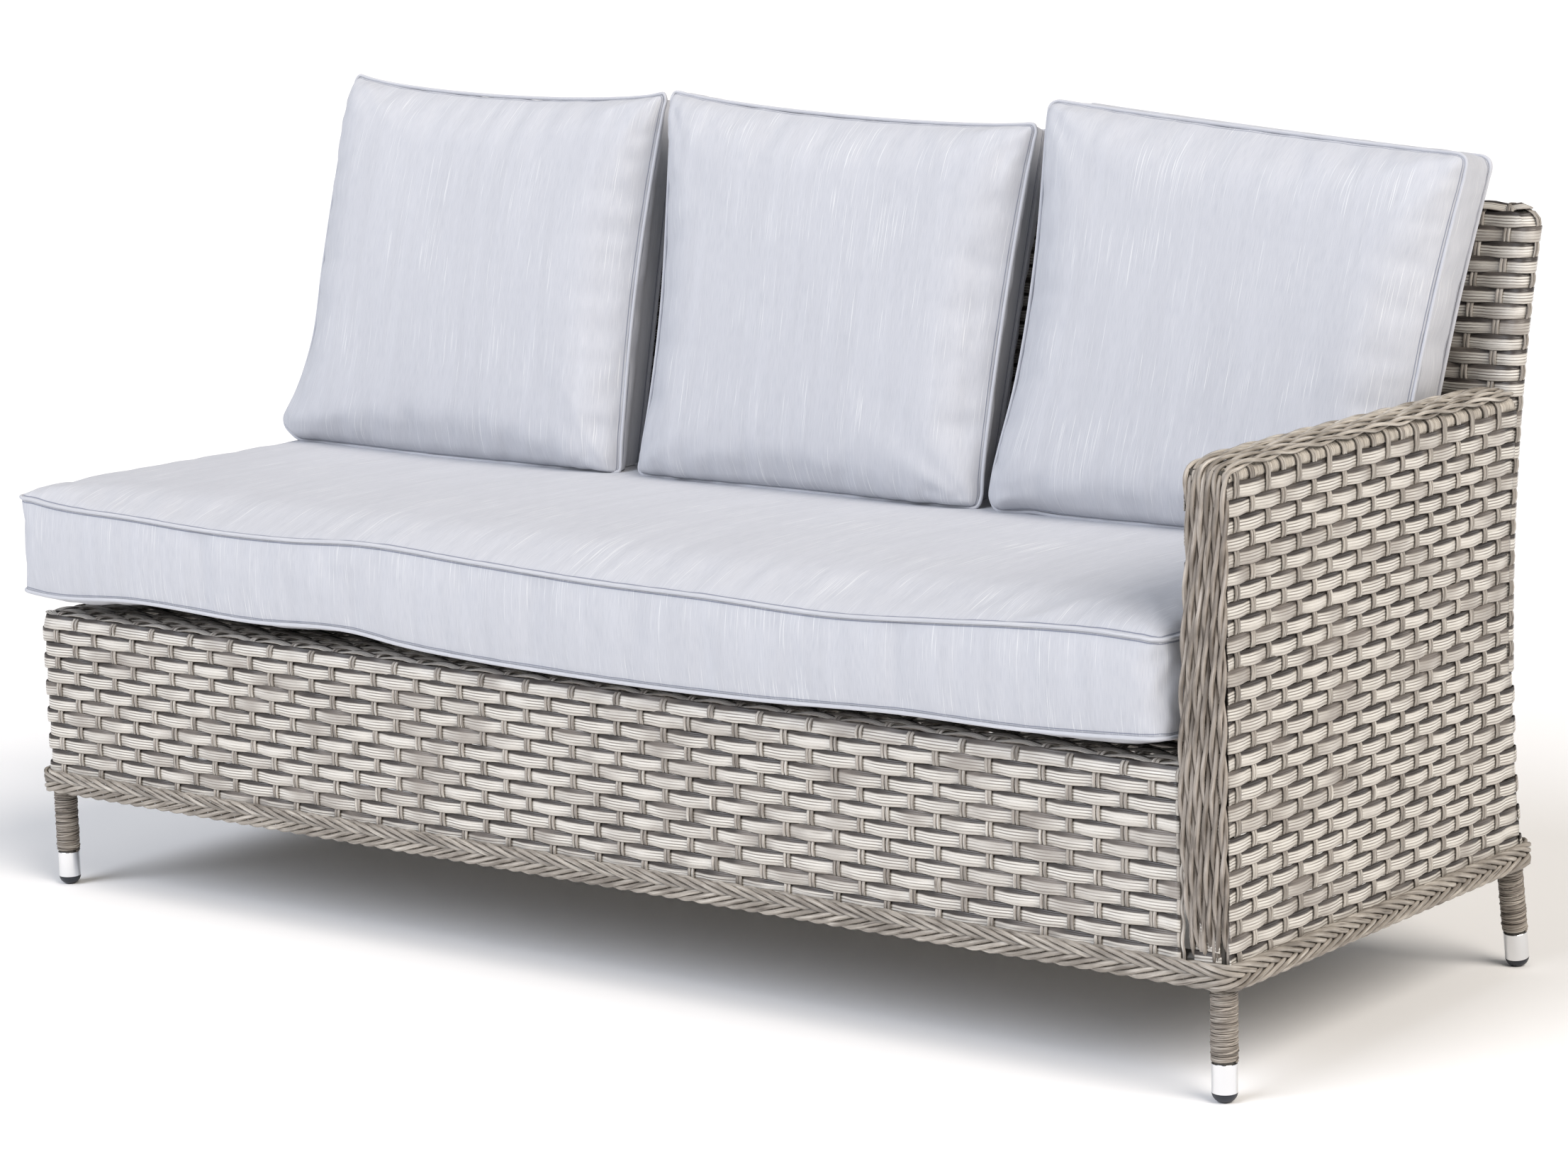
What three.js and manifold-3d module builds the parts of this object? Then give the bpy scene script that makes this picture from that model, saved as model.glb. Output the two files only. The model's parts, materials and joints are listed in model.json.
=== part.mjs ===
// Rattan garden sofa for three, with one arm: a welded tube frame covered in woven flat strand, plaited
// edges, wound legs on capped aluminium sleeves, one long seat cushion and three loose back cushions.
// Millimetres, +Z up. X runs along the seat from the open left end to the arm, Y from front to back.
// Until the last lines x = 0 is the left woven face, y = 0 the front woven face and z = 0 the floor.
import * as THREE from "three";
import { mergeVertices } from "three/addons/utils/BufferGeometryUtils.js";
import Module from "manifold-3d";

const wasm = await Module();
wasm.setup();

// Woven body
const BODY_LENGTH = 1800;
const DECK_HEIGHT = 361;
const PANEL_FOOT = 142;
const ARM_HEIGHT = 674;
const ARM_WIDTH = 58;
const BACK_HEIGHT = 890;

// Rear posts: one arc above a straight raked leg, with a bend at the top corner
const BACK_FORE_DEPTH = 612;
const BACK_FORE_HEIGHT = 420;
const BACK_RADIUS = 1600;
const BACK_KNEE_HEIGHT = 147;
const BACK_BEND_RADIUS = 14;
const BACK_BEND_RUN = 14;

// Frame tubes
const POST_DIAMETER = 25;
const POST_WALL = 1.5;
const RAIL_DIAMETER = 19;
const RAIL_WALL = 1.2;
const BAR_DIAMETER = 16;
const BAR_WALL = 1.2;

// Clearances: between pieces that touch, and between a woven skin and the tube under it
const GAP = 0.3;
const COVER_GAP = 0.9;

// Flat strand weave: brick pitches between ties, height of one course, thickness over a crest
const WEAVE = 3;
const FRONT_BRICK = 69.7;
const SIDE_BRICK = 62;
const COURSE = 18;
const TIE_SHARE = 0.6;
const VALLEY_SHARE = 0.3;

// Plaits: three strands on the bottom edge, twisted columns on the arm
const BRAID_HEIGHT = 29;
const BRAID_TOP = 155;
const BRAID_DEPTH = 9.5;
const BRAID_PITCH = 84;
const BRAID_EDGE_SHARE = 0.25;
const PLAIT_DEPTH = 9;
const PLAIT_CROWN = 14;
const PLAIT_INSET = 8;
const PLAIT_ROUND = 9;
const PLAIT_COLUMNS = 4;
const PLAIT_TWIST = 76;
const PLAIT_GROOVE_SHARE = 0.34;
const PLAIT_EDGE_SHARE = 0.45;

// Feet, along the leg's own axis
const CAP_HEIGHT = 10.4;
const CAP_UNDERCUT = 1;
const CAP_SPIGOT = 15;
const SLEEVE_DIAMETER = 28;
const SLEEVE_WALL = 1.2;
const SLEEVE_TOP = 43.3;

// Wound leg strand
const WINDING_TOP = 121;
const WINDING_WIDTH = 4.7;
const WINDING_RISE = 1.7;
const WINDING_TURNS = 14;

// Seat cushion
const SEAT_END_OVERHANG = 21;
const SEAT_FRONT_OVERHANG = 17;
const SEAT_SEAM_HEIGHT = 505;
const SEAT_CROWN_HEIGHT = 528;
const SEAT_SAG = 52;
const SEAT_LIFT = 22;
const SEAT_DRAW_IN = 5;

// Back cushions
const BACK_CUSHION_HEIGHT = 504;
const BACK_CUSHION_BOXING = 60;
const BACK_CUSHION_CROWN = 37;
const BACK_CUSHION_DRAW_IN = 14;
const BACK_CUSHION_DEPTH = 455;
const BACK_CUSHION_LIFT = 7;
const BACK_CUSHION_LEAN = Math.atan(0.3);

// Cushion welts and the soft corners inside them
const WELT = 3;
const CUSHION_CORNER = 24;
const CUSHION_GAP = 4;

// Facets: sides of tubes and of turned pieces, steps of a quarter turn and along raked pieces
const TUBE_SIDES = 10;
const ROUND_SIDES = 16;
const ARC_STEPS = 3;
const FOLD_STEPS = 2;
const DOME_STEPS = 3;
const LEG_STEPS = 3;
const POST_STEPS = 6;
const STILE_STEPS = 4;

const postInset = WEAVE + COVER_GAP + POST_DIAMETER / 2;
const railInset = WEAVE + COVER_GAP + RAIL_DIAMETER / 2;
const deckRailHeight = DECK_HEIGHT - railInset;
const footRailHeight = PANEL_FOOT + RAIL_DIAMETER / 2;
const armRailHeight = ARM_HEIGHT - RAIL_DIAMETER / 2;
const topRailHeight = BACK_HEIGHT - postInset;
const armInnerFace = BODY_LENGTH - ARM_WIDTH;
const leftPostX = postInset;
const rightPostX = BODY_LENGTH - postInset;
const braidFoot = BRAID_TOP - BRAID_HEIGHT;

// Depth and slope of the rear posts' centre line at a height: an arc, straight below the knee.
function backDepth(z) {
  const arcDepth = (h) =>
    BACK_FORE_DEPTH + BACK_RADIUS - Math.sqrt(BACK_RADIUS ** 2 - (h - BACK_FORE_HEIGHT) ** 2);
  if (z >= BACK_KNEE_HEIGHT) return arcDepth(z);
  return arcDepth(BACK_KNEE_HEIGHT) + (z - BACK_KNEE_HEIGHT) * backSlope(z);
}

function backSlope(z) {
  const rise = Math.max(z, BACK_KNEE_HEIGHT) - BACK_FORE_HEIGHT;
  return rise / Math.sqrt(BACK_RADIUS ** 2 - rise ** 2);
}

// A thickness square to the posts' line, measured level instead, and the faces woven over the posts.
const levelled = (thickness, z) => thickness * Math.hypot(1, backSlope(z));
const rearFace = (z) => backDepth(z) + levelled(postInset, z);
const frontOfBack = (z) => backDepth(z) - levelled(postInset, z);
const rearRailDepth = (z) => rearFace(z) - railInset;

const vec = (x, y, z) => new THREE.Vector3(x, y, z);
const mix = THREE.MathUtils.lerp;
const span = (from, to, steps) => Array.from({ length: steps + 1 }, (_, i) => mix(from, to, i / steps));

// Heights at which the rear posts and the skins over them bend together, so that their gap is even.
const bendFoot = topRailHeight - BACK_BEND_RADIUS;
const baseHeights = span(PANEL_FOOT, DECK_HEIGHT, LEG_STEPS);
const backHeights = span(DECK_HEIGHT + GAP, bendFoot, POST_STEPS);
const bendAngles = span(0, Math.PI / 2, ARC_STEPS).slice(1);

// Solids

function toSolid(geometry) {
  const bare = geometry.clone();
  for (const name of Object.keys(bare.attributes)) {
    if (name !== "position") bare.deleteAttribute(name);
  }
  const merged = mergeVertices(bare);
  return new wasm.Manifold(
    new wasm.Mesh({
      numProp: 3,
      vertProperties: merged.attributes.position.array,
      triVerts: new Uint32Array(merged.index.array),
    }),
  );
}

function cut(geometry, cutters) {
  const mesh = cutters.reduce((solid, tool) => solid.subtract(toSolid(tool)), toSolid(geometry)).getMesh();
  const left = new THREE.BufferGeometry();
  left.setAttribute("position", new THREE.BufferAttribute(mesh.vertProperties, 3));
  left.setIndex(new THREE.BufferAttribute(mesh.triVerts, 1));
  left.computeVertexNormals();
  return left;
}

function bodyOf(positions, index) {
  const body = new THREE.BufferGeometry();
  body.setAttribute("position", new THREE.Float32BufferAttribute(positions, 3));
  body.setIndex(index);
  body.computeVertexNormals();
  return body;
}

// A closed body through rings of points, which turn left seen from the side the rings advance to.
function loft(rings) {
  const count = rings[0].length;
  const positions = rings.flat().flatMap((p) => [p.x, p.y, p.z]);
  const index = [];
  for (let r = 0; r < rings.length - 1; r++) {
    for (let i = 0; i < count; i++) {
      const a = r * count + i;
      const b = r * count + ((i + 1) % count);
      index.push(a, b, b + count, a, b + count, a + count);
    }
  }
  const close = (ring, first, turned) => {
    const middle = positions.length / 3;
    const centre = ring.reduce((sum, p) => sum.add(p), vec(0, 0, 0)).divideScalar(count);
    positions.push(centre.x, centre.y, centre.z);
    for (let i = 0; i < count; i++) {
      const pair = [first + i, first + ((i + 1) % count)];
      index.push(middle, ...(turned ? pair.reverse() : pair));
    }
  };
  close(rings[0], 0, true);
  close(rings.at(-1), (rings.length - 1) * count, false);
  return bodyOf(positions, index);
}

// A thin skin between an outer and an inner grid of points, closed round its edge. Rows and columns
// of both run the same way, and column direction by row direction points out of the outer face.
function skin(outer, inner) {
  const points = [];
  const number = (grid) => grid.map((row) => row.map((p) => points.push(p) - 1));
  const out = number(outer);
  const back = number(inner);
  const index = [];
  const cover = (grid, turned) => {
    for (let r = 0; r < grid.length - 1; r++) {
      for (let c = 0; c < grid[r].length - 1; c++) {
        const [a, b, d, e] = [grid[r][c], grid[r][c + 1], grid[r + 1][c], grid[r + 1][c + 1]];
        index.push(...(turned ? [a, d, b, b, d, e] : [a, b, d, b, e, d]));
      }
    }
  };
  cover(out, false);
  cover(back, true);
  const edges = (grid) => [
    grid[0],
    grid.map((row) => row.at(-1)),
    [...grid.at(-1)].reverse(),
    grid.map((row) => row[0]).reverse(),
  ];
  const inside = edges(back);
  edges(out).forEach((edge, side) => {
    let [o, i] = [0, 0];
    while (o < edge.length - 1 || i < inside[side].length - 1) {
      const [here, there] = [edge[o], inside[side][i]];
      const [nextOut, nextIn] = [edge[o + 1], inside[side][i + 1]];
      const outFirst =
        nextIn === undefined ||
        (nextOut !== undefined &&
          points[nextOut].distanceTo(points[there]) <= points[here].distanceTo(points[nextIn]));
      index.push(...(outFirst ? [nextOut, here, there] : [here, there, nextIn]));
      if (outFirst) o++;
      else i++;
    }
  });
  return bodyOf(points.flatMap((p) => [p.x, p.y, p.z]), index);
}

// Frame tubes

// A route whose steps are the stations it is given, closer together in its bends.
class Route extends THREE.Curve {
  constructor(stations) {
    super();
    this.stations = stations;
  }
  getPoint(t, target = new THREE.Vector3()) {
    const place = t * (this.stations.length - 1);
    const first = Math.min(Math.floor(place), this.stations.length - 2);
    return target.lerpVectors(this.stations[first], this.stations[first + 1], place - first);
  }
  getUtoTmapping(u) {
    return u;
  }
}

function roundBar(stations, diameter, wall = 0) {
  const section = new THREE.Shape().absarc(0, 0, diameter / 2, 0, 2 * Math.PI);
  if (wall) section.holes.push(new THREE.Path().absarc(0, 0, diameter / 2 - wall, 0, 2 * Math.PI, true));
  return new THREE.ExtrudeGeometry(section, {
    steps: stations.length - 1,
    curveSegments: TUBE_SIDES / 2,
    bevelEnabled: false,
    extrudePath: new Route(stations),
  });
}

const parts = [];

function addPart(name, finish, geometry) {
  parts.push({ name, finish, geometry });
}

// The room that each tube of the frame takes, a gap wider all round, for the pieces fitted to it.
const room = {};

// A frame tube, coped at its ends round the tubes that it is welded to. Its room may run past its head.
function addTube(name, stations, diameter, wall, weldedTo = [], past = []) {
  room[name] = roundBar([...stations, ...past], diameter + 2 * GAP);
  const tube = roundBar(stations, diameter, wall);
  addPart(name, "frame", weldedTo.length ? cut(tube, weldedTo.map((other) => room[other])) : tube);
}

// Legs start inside their caps, so the tube stops a gap above the cap's shoulder.
const tubeFoot = CAP_HEIGHT + GAP;
const legTilt = -Math.atan(backSlope(0));

function frontPost(name, x, head) {
  const [foot, top] = [vec(x, postInset, tubeFoot), vec(x, postInset, head)];
  addTube(name, [foot, top], POST_DIAMETER, POST_WALL, [], [vec(x, postInset, head + RAIL_DIAMETER)]);
}

frontPost("front_left_leg", leftPostX, deckRailHeight);
frontPost("front_right_post", rightPostX, ARM_HEIGHT);

function rearPost(x, inward) {
  const legHeights = [tubeFoot * Math.cos(legTilt), BACK_KNEE_HEIGHT, ...baseHeights.slice(1, -1)];
  const straight = [...legHeights, ...backHeights].map((z) => vec(x, backDepth(z), z));
  const bend = bendAngles.map((angle) => {
    const z = bendFoot + BACK_BEND_RADIUS * Math.sin(angle);
    return vec(x + inward * BACK_BEND_RADIUS * (1 - Math.cos(angle)), backDepth(z), z);
  });
  return [...straight, ...bend, bend.at(-1).clone().add(vec(inward * BACK_BEND_RUN, 0, 0))];
}

const topRailStart = BACK_BEND_RADIUS + BACK_BEND_RUN + GAP;
addTube("rear_left_post", rearPost(leftPostX, 1), POST_DIAMETER, POST_WALL);
addTube("rear_right_post", rearPost(rightPostX, -1), POST_DIAMETER, POST_WALL);
addTube(
  "back_top_rail",
  [leftPostX + topRailStart, rightPostX - topRailStart].map((x) =>
    vec(x, backDepth(topRailHeight), topRailHeight),
  ),
  POST_DIAMETER,
  POST_WALL,
);

const addRail = (name, from, to, weldedTo) => addTube(name, [from, to], RAIL_DIAMETER, RAIL_WALL, weldedTo);

const frontPosts = ["front_left_leg", "front_right_post"];
const rearPosts = ["rear_left_post", "rear_right_post"];
const leftPosts = ["front_left_leg", "rear_left_post"];
const rightPosts = ["front_right_post", "rear_right_post"];

for (const [level, z] of [
  ["top", deckRailHeight],
  ["bottom", footRailHeight],
]) {
  const rear = rearRailDepth(z);
  addRail(`front_${level}_rail`, vec(leftPostX, railInset, z), vec(rightPostX, railInset, z), frontPosts);
  addRail(`rear_${level}_rail`, vec(leftPostX, rear, z), vec(rightPostX, rear, z), rearPosts);
  addRail(`left_${level}_rail`, vec(railInset, postInset, z), vec(railInset, backDepth(z), z), leftPosts);
  const rightX = BODY_LENGTH - railInset;
  addRail(`right_${level}_rail`, vec(rightX, postInset, z), vec(rightX, backDepth(z), z), rightPosts);
}

// Seat bars under the woven deck, and stiles up the backrest between the seat and top rails.
const BAR_COUNT = 4;
const barHeight = DECK_HEIGHT - WEAVE - COVER_GAP - BAR_DIAMETER / 2;

for (let i = 1; i <= BAR_COUNT; i++) {
  const x = mix(leftPostX, armInnerFace, i / (BAR_COUNT + 1));
  addTube(
    `seat_bar_${i}`,
    [vec(x, railInset, barHeight), vec(x, rearRailDepth(deckRailHeight), barHeight)],
    BAR_DIAMETER,
    BAR_WALL,
    ["front_top_rail", "rear_top_rail"],
  );
}

const STILE_SHARES = { left: 1 / 3, right: 2 / 3 };

for (const [side, share] of Object.entries(STILE_SHARES)) {
  const x = BODY_LENGTH * share;
  addTube(
    `back_${side}_stile`,
    span(deckRailHeight, topRailHeight, STILE_STEPS).map((z) => vec(x, backDepth(z), z)),
    BAR_DIAMETER,
    BAR_WALL,
    ["rear_top_rail", "back_top_rail"],
  );
}

// Arm frame: the front post carries the outer rail, a stile on the seat rail the inner one.
const armInnerX = armInnerFace + railInset;
const armOuterX = BODY_LENGTH - railInset;

addTube(
  "arm_front_stile",
  [vec(armInnerX, railInset, deckRailHeight), vec(armInnerX, railInset, ARM_HEIGHT)],
  RAIL_DIAMETER,
  RAIL_WALL,
  ["front_top_rail"],
  [vec(armInnerX, railInset, ARM_HEIGHT + RAIL_DIAMETER)],
);
addTube(
  "arm_rear_stile",
  span(deckRailHeight, ARM_HEIGHT, STILE_STEPS / 2).map((z) => vec(armInnerX, backDepth(z), z)),
  BAR_DIAMETER,
  BAR_WALL,
  ["rear_top_rail"],
);
addRail(
  "arm_outer_rail",
  vec(armOuterX, postInset, armRailHeight),
  vec(armOuterX, backDepth(armRailHeight), armRailHeight),
  rightPosts,
);
addRail(
  "arm_inner_rail",
  vec(armInnerX, railInset, armRailHeight),
  vec(armInnerX, backDepth(armRailHeight), armRailHeight),
  ["arm_front_stile", "arm_rear_stile"],
);

// Woven skins

// Heights over the inner face at the points of a brick weave: strands crest midway between ties,
// which stand half a brick on in the next course. Ridged courses have valleys between them instead.
const openBrick = (column, course) => WEAVE * ((column + course) % 2 ? 1 : TIE_SHARE);
const ridge = (column, row) => WEAVE * (row % 2 ? 1 : VALLEY_SHARE);
const even = () => WEAVE;

// Places across a panel, half a brick apart, and up it, half a course apart.
const brickSteps = (length, brick) => Math.max(2, Math.round((2 * length) / brick));
const courses = (length) => Math.max(2, Math.round(length / COURSE));
const courseSteps = (length) => 2 * courses(length);

// A woven panel over surface(u, v, height), where u and v run from 0 to 1, with an even edge.
function wovenPanel(surface, height, us, vs, innerUs, innerVs) {
  const inside = (i, list) => i > 0 && i < list.length - 1;
  const relief = (c, r) => (inside(c, us) && inside(r, vs) ? height(c, r) : WEAVE * TIE_SHARE);
  const level = height === even ? even : relief;
  const outer = vs.map((v, r) => us.map((u, c) => surface(u, v, level(c, r))));
  const inner = innerVs.map((v) => innerUs.map((u) => surface(u, v, 0)));
  return skin(outer, inner);
}

// The front panel turns the left corner round the leg and folds back over the front rail.
const turnLength = (postInset * Math.PI) / 2;
const foldLength = (railInset * Math.PI) / 2;
const frontRun = armInnerFace - GAP - postInset;
const frontRise = deckRailHeight - PANEL_FOOT;

function frontSurface(u, v, height) {
  const along = u * (turnLength + frontRun) - turnLength;
  const up = v * (frontRise + foldLength);
  const fold = Math.max(0, (up - frontRise) / railInset);
  const reach = railInset - WEAVE + height;
  const z = PANEL_FOOT + Math.min(up, frontRise) + reach * Math.sin(fold);
  if (along >= 0) return vec(postInset + along, railInset - reach * Math.cos(fold), z);
  const turn = (-along / turnLength) * (Math.PI / 2);
  const out = postInset - railInset + reach * Math.cos(fold);
  return vec(postInset - out * Math.sin(turn), postInset - out * Math.cos(turn), z);
}

const frontTurn = turnLength / (turnLength + frontRun);
const frontFold = frontRise / (frontRise + foldLength);
const cornerSteps = span(0, frontTurn, ARC_STEPS).slice(0, -1);
const foldSteps = (steps) => span(frontFold, 1, steps).slice(1);
addPart(
  "front_panel",
  "weave",
  wovenPanel(
    frontSurface,
    openBrick,
    [...cornerSteps, ...span(frontTurn, 1, brickSteps(frontRun, FRONT_BRICK))],
    [...span(0, frontFold, courses(frontRise)), ...foldSteps(FOLD_STEPS)],
    [...cornerSteps, frontTurn, 1],
    [0, frontFold, ...foldSteps(ARC_STEPS)],
  ),
);

// The left end panel runs from the front corner to the rear post and folds over the left rail.
function leftSurface(u, v, height) {
  const up = v * (frontRise + foldLength);
  const fold = Math.max(0, (up - frontRise) / railInset);
  const reach = railInset - WEAVE + height;
  const z = PANEL_FOOT + Math.min(up, frontRise) + reach * Math.sin(fold);
  const y = mix(backDepth(Math.min(z, deckRailHeight)) - GAP, postInset + GAP, u);
  return vec(railInset - reach * Math.cos(fold), y, z);
}

const endRun = BACK_FORE_DEPTH - postInset;
addPart(
  "left_end_panel",
  "weave",
  cut(
    wovenPanel(
      leftSurface,
      openBrick,
      span(0, 1, brickSteps(endRun, SIDE_BRICK)),
      [...span(0, frontFold, courses(frontRise)), ...foldSteps(FOLD_STEPS)],
      [0, 1],
      [...span(0, frontFold, LEG_STEPS), ...foldSteps(ARC_STEPS)],
    ),
    [room.rear_left_post],
  ),
);

// The rear panel of the base turns both corners round the rear posts.
const rearRun = rightPostX - leftPostX;
const rearTurn = turnLength / (2 * turnLength + rearRun);

function rearSurface(u, v, height) {
  const z = mix(PANEL_FOOT, DECK_HEIGHT, v);
  const out = postInset - WEAVE + height;
  const along = u * (2 * turnLength + rearRun) - turnLength;
  const past = along < 0 ? along : Math.max(0, along - rearRun);
  const turn = past / postInset;
  const x = rightPostX - THREE.MathUtils.clamp(along, 0, rearRun) - out * Math.sin(turn);
  return vec(x, backDepth(z) + levelled(out, z) * Math.cos(turn), z);
}

const rearCorners = [span(0, rearTurn, ARC_STEPS), span(1 - rearTurn, 1, ARC_STEPS)];
addPart(
  "rear_panel",
  "weave",
  wovenPanel(
    rearSurface,
    ridge,
    rearCorners.flat(),
    span(0, 1, courseSteps(DECK_HEIGHT - PANEL_FOOT)),
    rearCorners.flat(),
    span(0, 1, LEG_STEPS),
  ),
);

// The seat deck lies on the rails and bars, its courses running from end to end of the seat.
const deckFront = railInset + GAP;
const deckRear = rearRailDepth(deckRailHeight);

function deckSurface(u, v, height) {
  const x = mix(deckFront, armInnerFace + WEAVE, u);
  return vec(x, mix(deckFront, deckRear, v), DECK_HEIGHT - WEAVE + height);
}

const cornerSide = 2 * (postInset + GAP);
const cornerFold = new THREE.BoxGeometry(cornerSide, cornerSide, DECK_HEIGHT).translate(0, 0, DECK_HEIGHT);
addPart(
  "seat_deck",
  "weave",
  cut(
    wovenPanel(deckSurface, even, [0, 1], [0, 1], [0, 1], [0, 1]),
    [cornerFold, room.rear_left_post, room.back_left_stile, room.back_right_stile],
  ),
);

// Arm panels. The outer one reaches the floor braid, the inner one stands on the deck.
const armPanelFront = railInset - RAIL_DIAMETER / 2;

function armOuterSurface(u, v, height) {
  const z = mix(PANEL_FOOT, armRailHeight, v);
  return vec(BODY_LENGTH - WEAVE + height, mix(armPanelFront, backDepth(z) - GAP, u), z);
}

function armInnerSurface(u, v, height) {
  const z = mix(DECK_HEIGHT + GAP, armRailHeight, v);
  return vec(armInnerFace + WEAVE - height, mix(frontOfBack(z) - GAP, armPanelFront, u), z);
}

const armInnerVs = span(0, 1, POST_STEPS);
const armInnerSkin = wovenPanel(armInnerSurface, even, [0, 1], armInnerVs, [0, 1], armInnerVs);
addPart("arm_inner_panel", "weave", armInnerSkin);

// The backrest is one woven sock pulled over the posts, open at its foot and rounded at the top.
function backRing(z, half, cornerRadius) {
  const above = Math.max(0, z - bendFoot);
  const drawn = cornerRadius - Math.sqrt(Math.max(0, cornerRadius ** 2 - above ** 2));
  const end = postInset - half.end + drawn;
  const [left, right] = [end + half.end, BODY_LENGTH - end - half.end];
  const centre = backDepth(Math.min(z, topRailHeight));
  const turn = (x, from) =>
    span(from, from + Math.PI, 2 * ARC_STEPS).map((angle) =>
      vec(x + half.end * Math.cos(angle), centre + half.face * Math.sin(angle), z),
    );
  return [...turn(right, -Math.PI / 2), ...turn(left, Math.PI / 2)];
}

// Rings up the sock at half its thickness, then round the bend of the posts and over the top rail.
function backLevels(half) {
  const corner = BACK_BEND_RADIUS + half;
  const faceAt = (z, face) => levelled(face, Math.min(z, topRailHeight));
  const level = (z, face) => backRing(z, { end: half, face: faceAt(z, face) }, corner);
  const sides = backHeights.map((z) => level(z, half));
  const bend = span(0, Math.asin(BACK_BEND_RADIUS / corner), ARC_STEPS)
    .slice(1)
    .map((angle) => level(bendFoot + corner * Math.sin(angle), half));
  const top = bendAngles.map((angle) => {
    const last = Math.min(angle, CREST_END);
    return level(topRailHeight + half * Math.sin(last), half * Math.cos(last));
  });
  return [...sides, ...bend, ...top];
}

const CREST_END = (Math.PI * 4) / 9;
const backEnvelope = loft(backLevels(postInset + GAP));
addPart(
  "backrest_weave",
  "weave",
  cut(
    loft([...backLevels(postInset - WEAVE).reverse(), ...backLevels(postInset)]),
    [room.arm_outer_rail, room.arm_inner_rail],
  ),
);

const armRise = armRailHeight - PANEL_FOOT;
addPart(
  "arm_outer_panel",
  "weave",
  cut(
    wovenPanel(
      armOuterSurface,
      openBrick,
      span(0, 1, brickSteps(endRun, SIDE_BRICK)),
      span(0, 1, courses(armRise)),
      [0, 1],
      span(0, 1, courses(armRise) / 4),
    ),
    [backEnvelope],
  ),
);

// Plaits

// Depth of a three-strand braid's face: the strands weave side to side a third of a pitch apart.
const BRAID_STRANDS = 3;
const BRAID_SPREAD_SHARE = 0.52;
const BRAID_WIDTH_SHARE = 0.62;

function braidShare(across, along) {
  let highest = BRAID_EDGE_SHARE;
  for (let strand = 0; strand < BRAID_STRANDS; strand++) {
    const phase = 2 * Math.PI * (along / BRAID_PITCH + strand / BRAID_STRANDS);
    const side = BRAID_SPREAD_SHARE * Math.sin(phase);
    const lift = (1 + Math.sin(2 * phase)) / 2;
    const round = Math.sqrt(Math.max(0, 1 - ((across - side) / BRAID_WIDTH_SHARE) ** 2));
    highest = Math.max(highest, round * mix(BRAID_SPREAD_SHARE, 1, lift));
  }
  return highest;
}

// Each bottom braid lies against the woven face, mitred into its neighbours at the corners.
const BRAID_STEP = 21;
const BRAID_ACROSS = 3;

function addBraid(name, length, place) {
  const steps = Math.round(length(BRAID_TOP) / BRAID_STEP);
  const point = (u, v, out) => {
    const z = mix(braidFoot, BRAID_TOP, v);
    return place(mix(GAP - out, length(z) - GAP + out, u), out, z);
  };
  const face = (u, v) => {
    const share = v % 1 ? braidShare(2 * v - 1, u * length(BRAID_TOP)) : BRAID_EDGE_SHARE;
    return GAP + (BRAID_DEPTH - GAP) * share;
  };
  const vs = span(0, 1, BRAID_ACROSS);
  const outer = vs.map((v) => span(0, 1, steps).map((u) => point(u, v, face(u, v))));
  const inner = [0, 1].map((v) => [0, 1].map((u) => point(u, v, GAP)));
  addPart(name, "cane", skin(outer, inner));
}

const bodyLength = () => BODY_LENGTH;
addBraid("front_braid", bodyLength, (s, out, z) => vec(s, -out, z));
addBraid("right_braid", rearFace, (s, out, z) => vec(BODY_LENGTH + out, s, z));
addBraid("rear_braid", bodyLength, (s, out, z) => vec(BODY_LENGTH - s, rearFace(z) + out, z));
addBraid("left_braid", rearFace, (s, out, z) => vec(-out, rearFace(z) - s, z));

// Twisted columns of cane side by side: how far the face stands out at a place across and along.
function twistShare(u, along) {
  if (u % 1 === 0) return PLAIT_EDGE_SHARE;
  const crown = Math.sqrt(1 - (2 * u - 1) ** 2 * (1 - PLAIT_EDGE_SHARE));
  const groove = Math.abs(Math.sin(Math.PI * (PLAIT_COLUMNS * u + along / PLAIT_TWIST)));
  return crown * (1 - PLAIT_GROOVE_SHARE * (1 - groove));
}

// The post plait covers the arm's front from the bottom braid to the turn of the arm plait.
const PLAIT_STEP = 19;
const plaitSeat = armPanelFront - GAP;
const plaitUs = span(0, 1, 2 * PLAIT_COLUMNS);
const postPlaitFoot = BRAID_TOP + GAP;
const postPlaitTop = ARM_HEIGHT - PLAIT_ROUND;

function postPlaitPoint(u, v, share) {
  const z = mix(postPlaitFoot, postPlaitTop, v);
  return vec(mix(armInnerFace, BODY_LENGTH, u), plaitSeat - (plaitSeat + PLAIT_DEPTH) * share, z);
}

const postPlaitRise = postPlaitTop - postPlaitFoot;
const postPlaitVs = span(0, 1, Math.round(postPlaitRise / PLAIT_STEP));
addPart(
  "arm_post_plait",
  "cane",
  skin(
    postPlaitVs.map((v) =>
      plaitUs.map((u) => postPlaitPoint(u, v, twistShare(u, v * postPlaitRise))),
    ),
    [0, 1].map((v) => plaitUs.map((u) => postPlaitPoint(u, v, 0))),
  ),
);

// The arm plait lies on the rails and turns down over the front post's head.
const armPlaitFloor = ARM_HEIGHT + GAP;
const turnSeat = (PLAIT_ROUND * Math.PI) / 2;
const armPlaitRun = frontOfBack(armPlaitFloor) - GAP - plaitSeat - PLAIT_ROUND;

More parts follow.
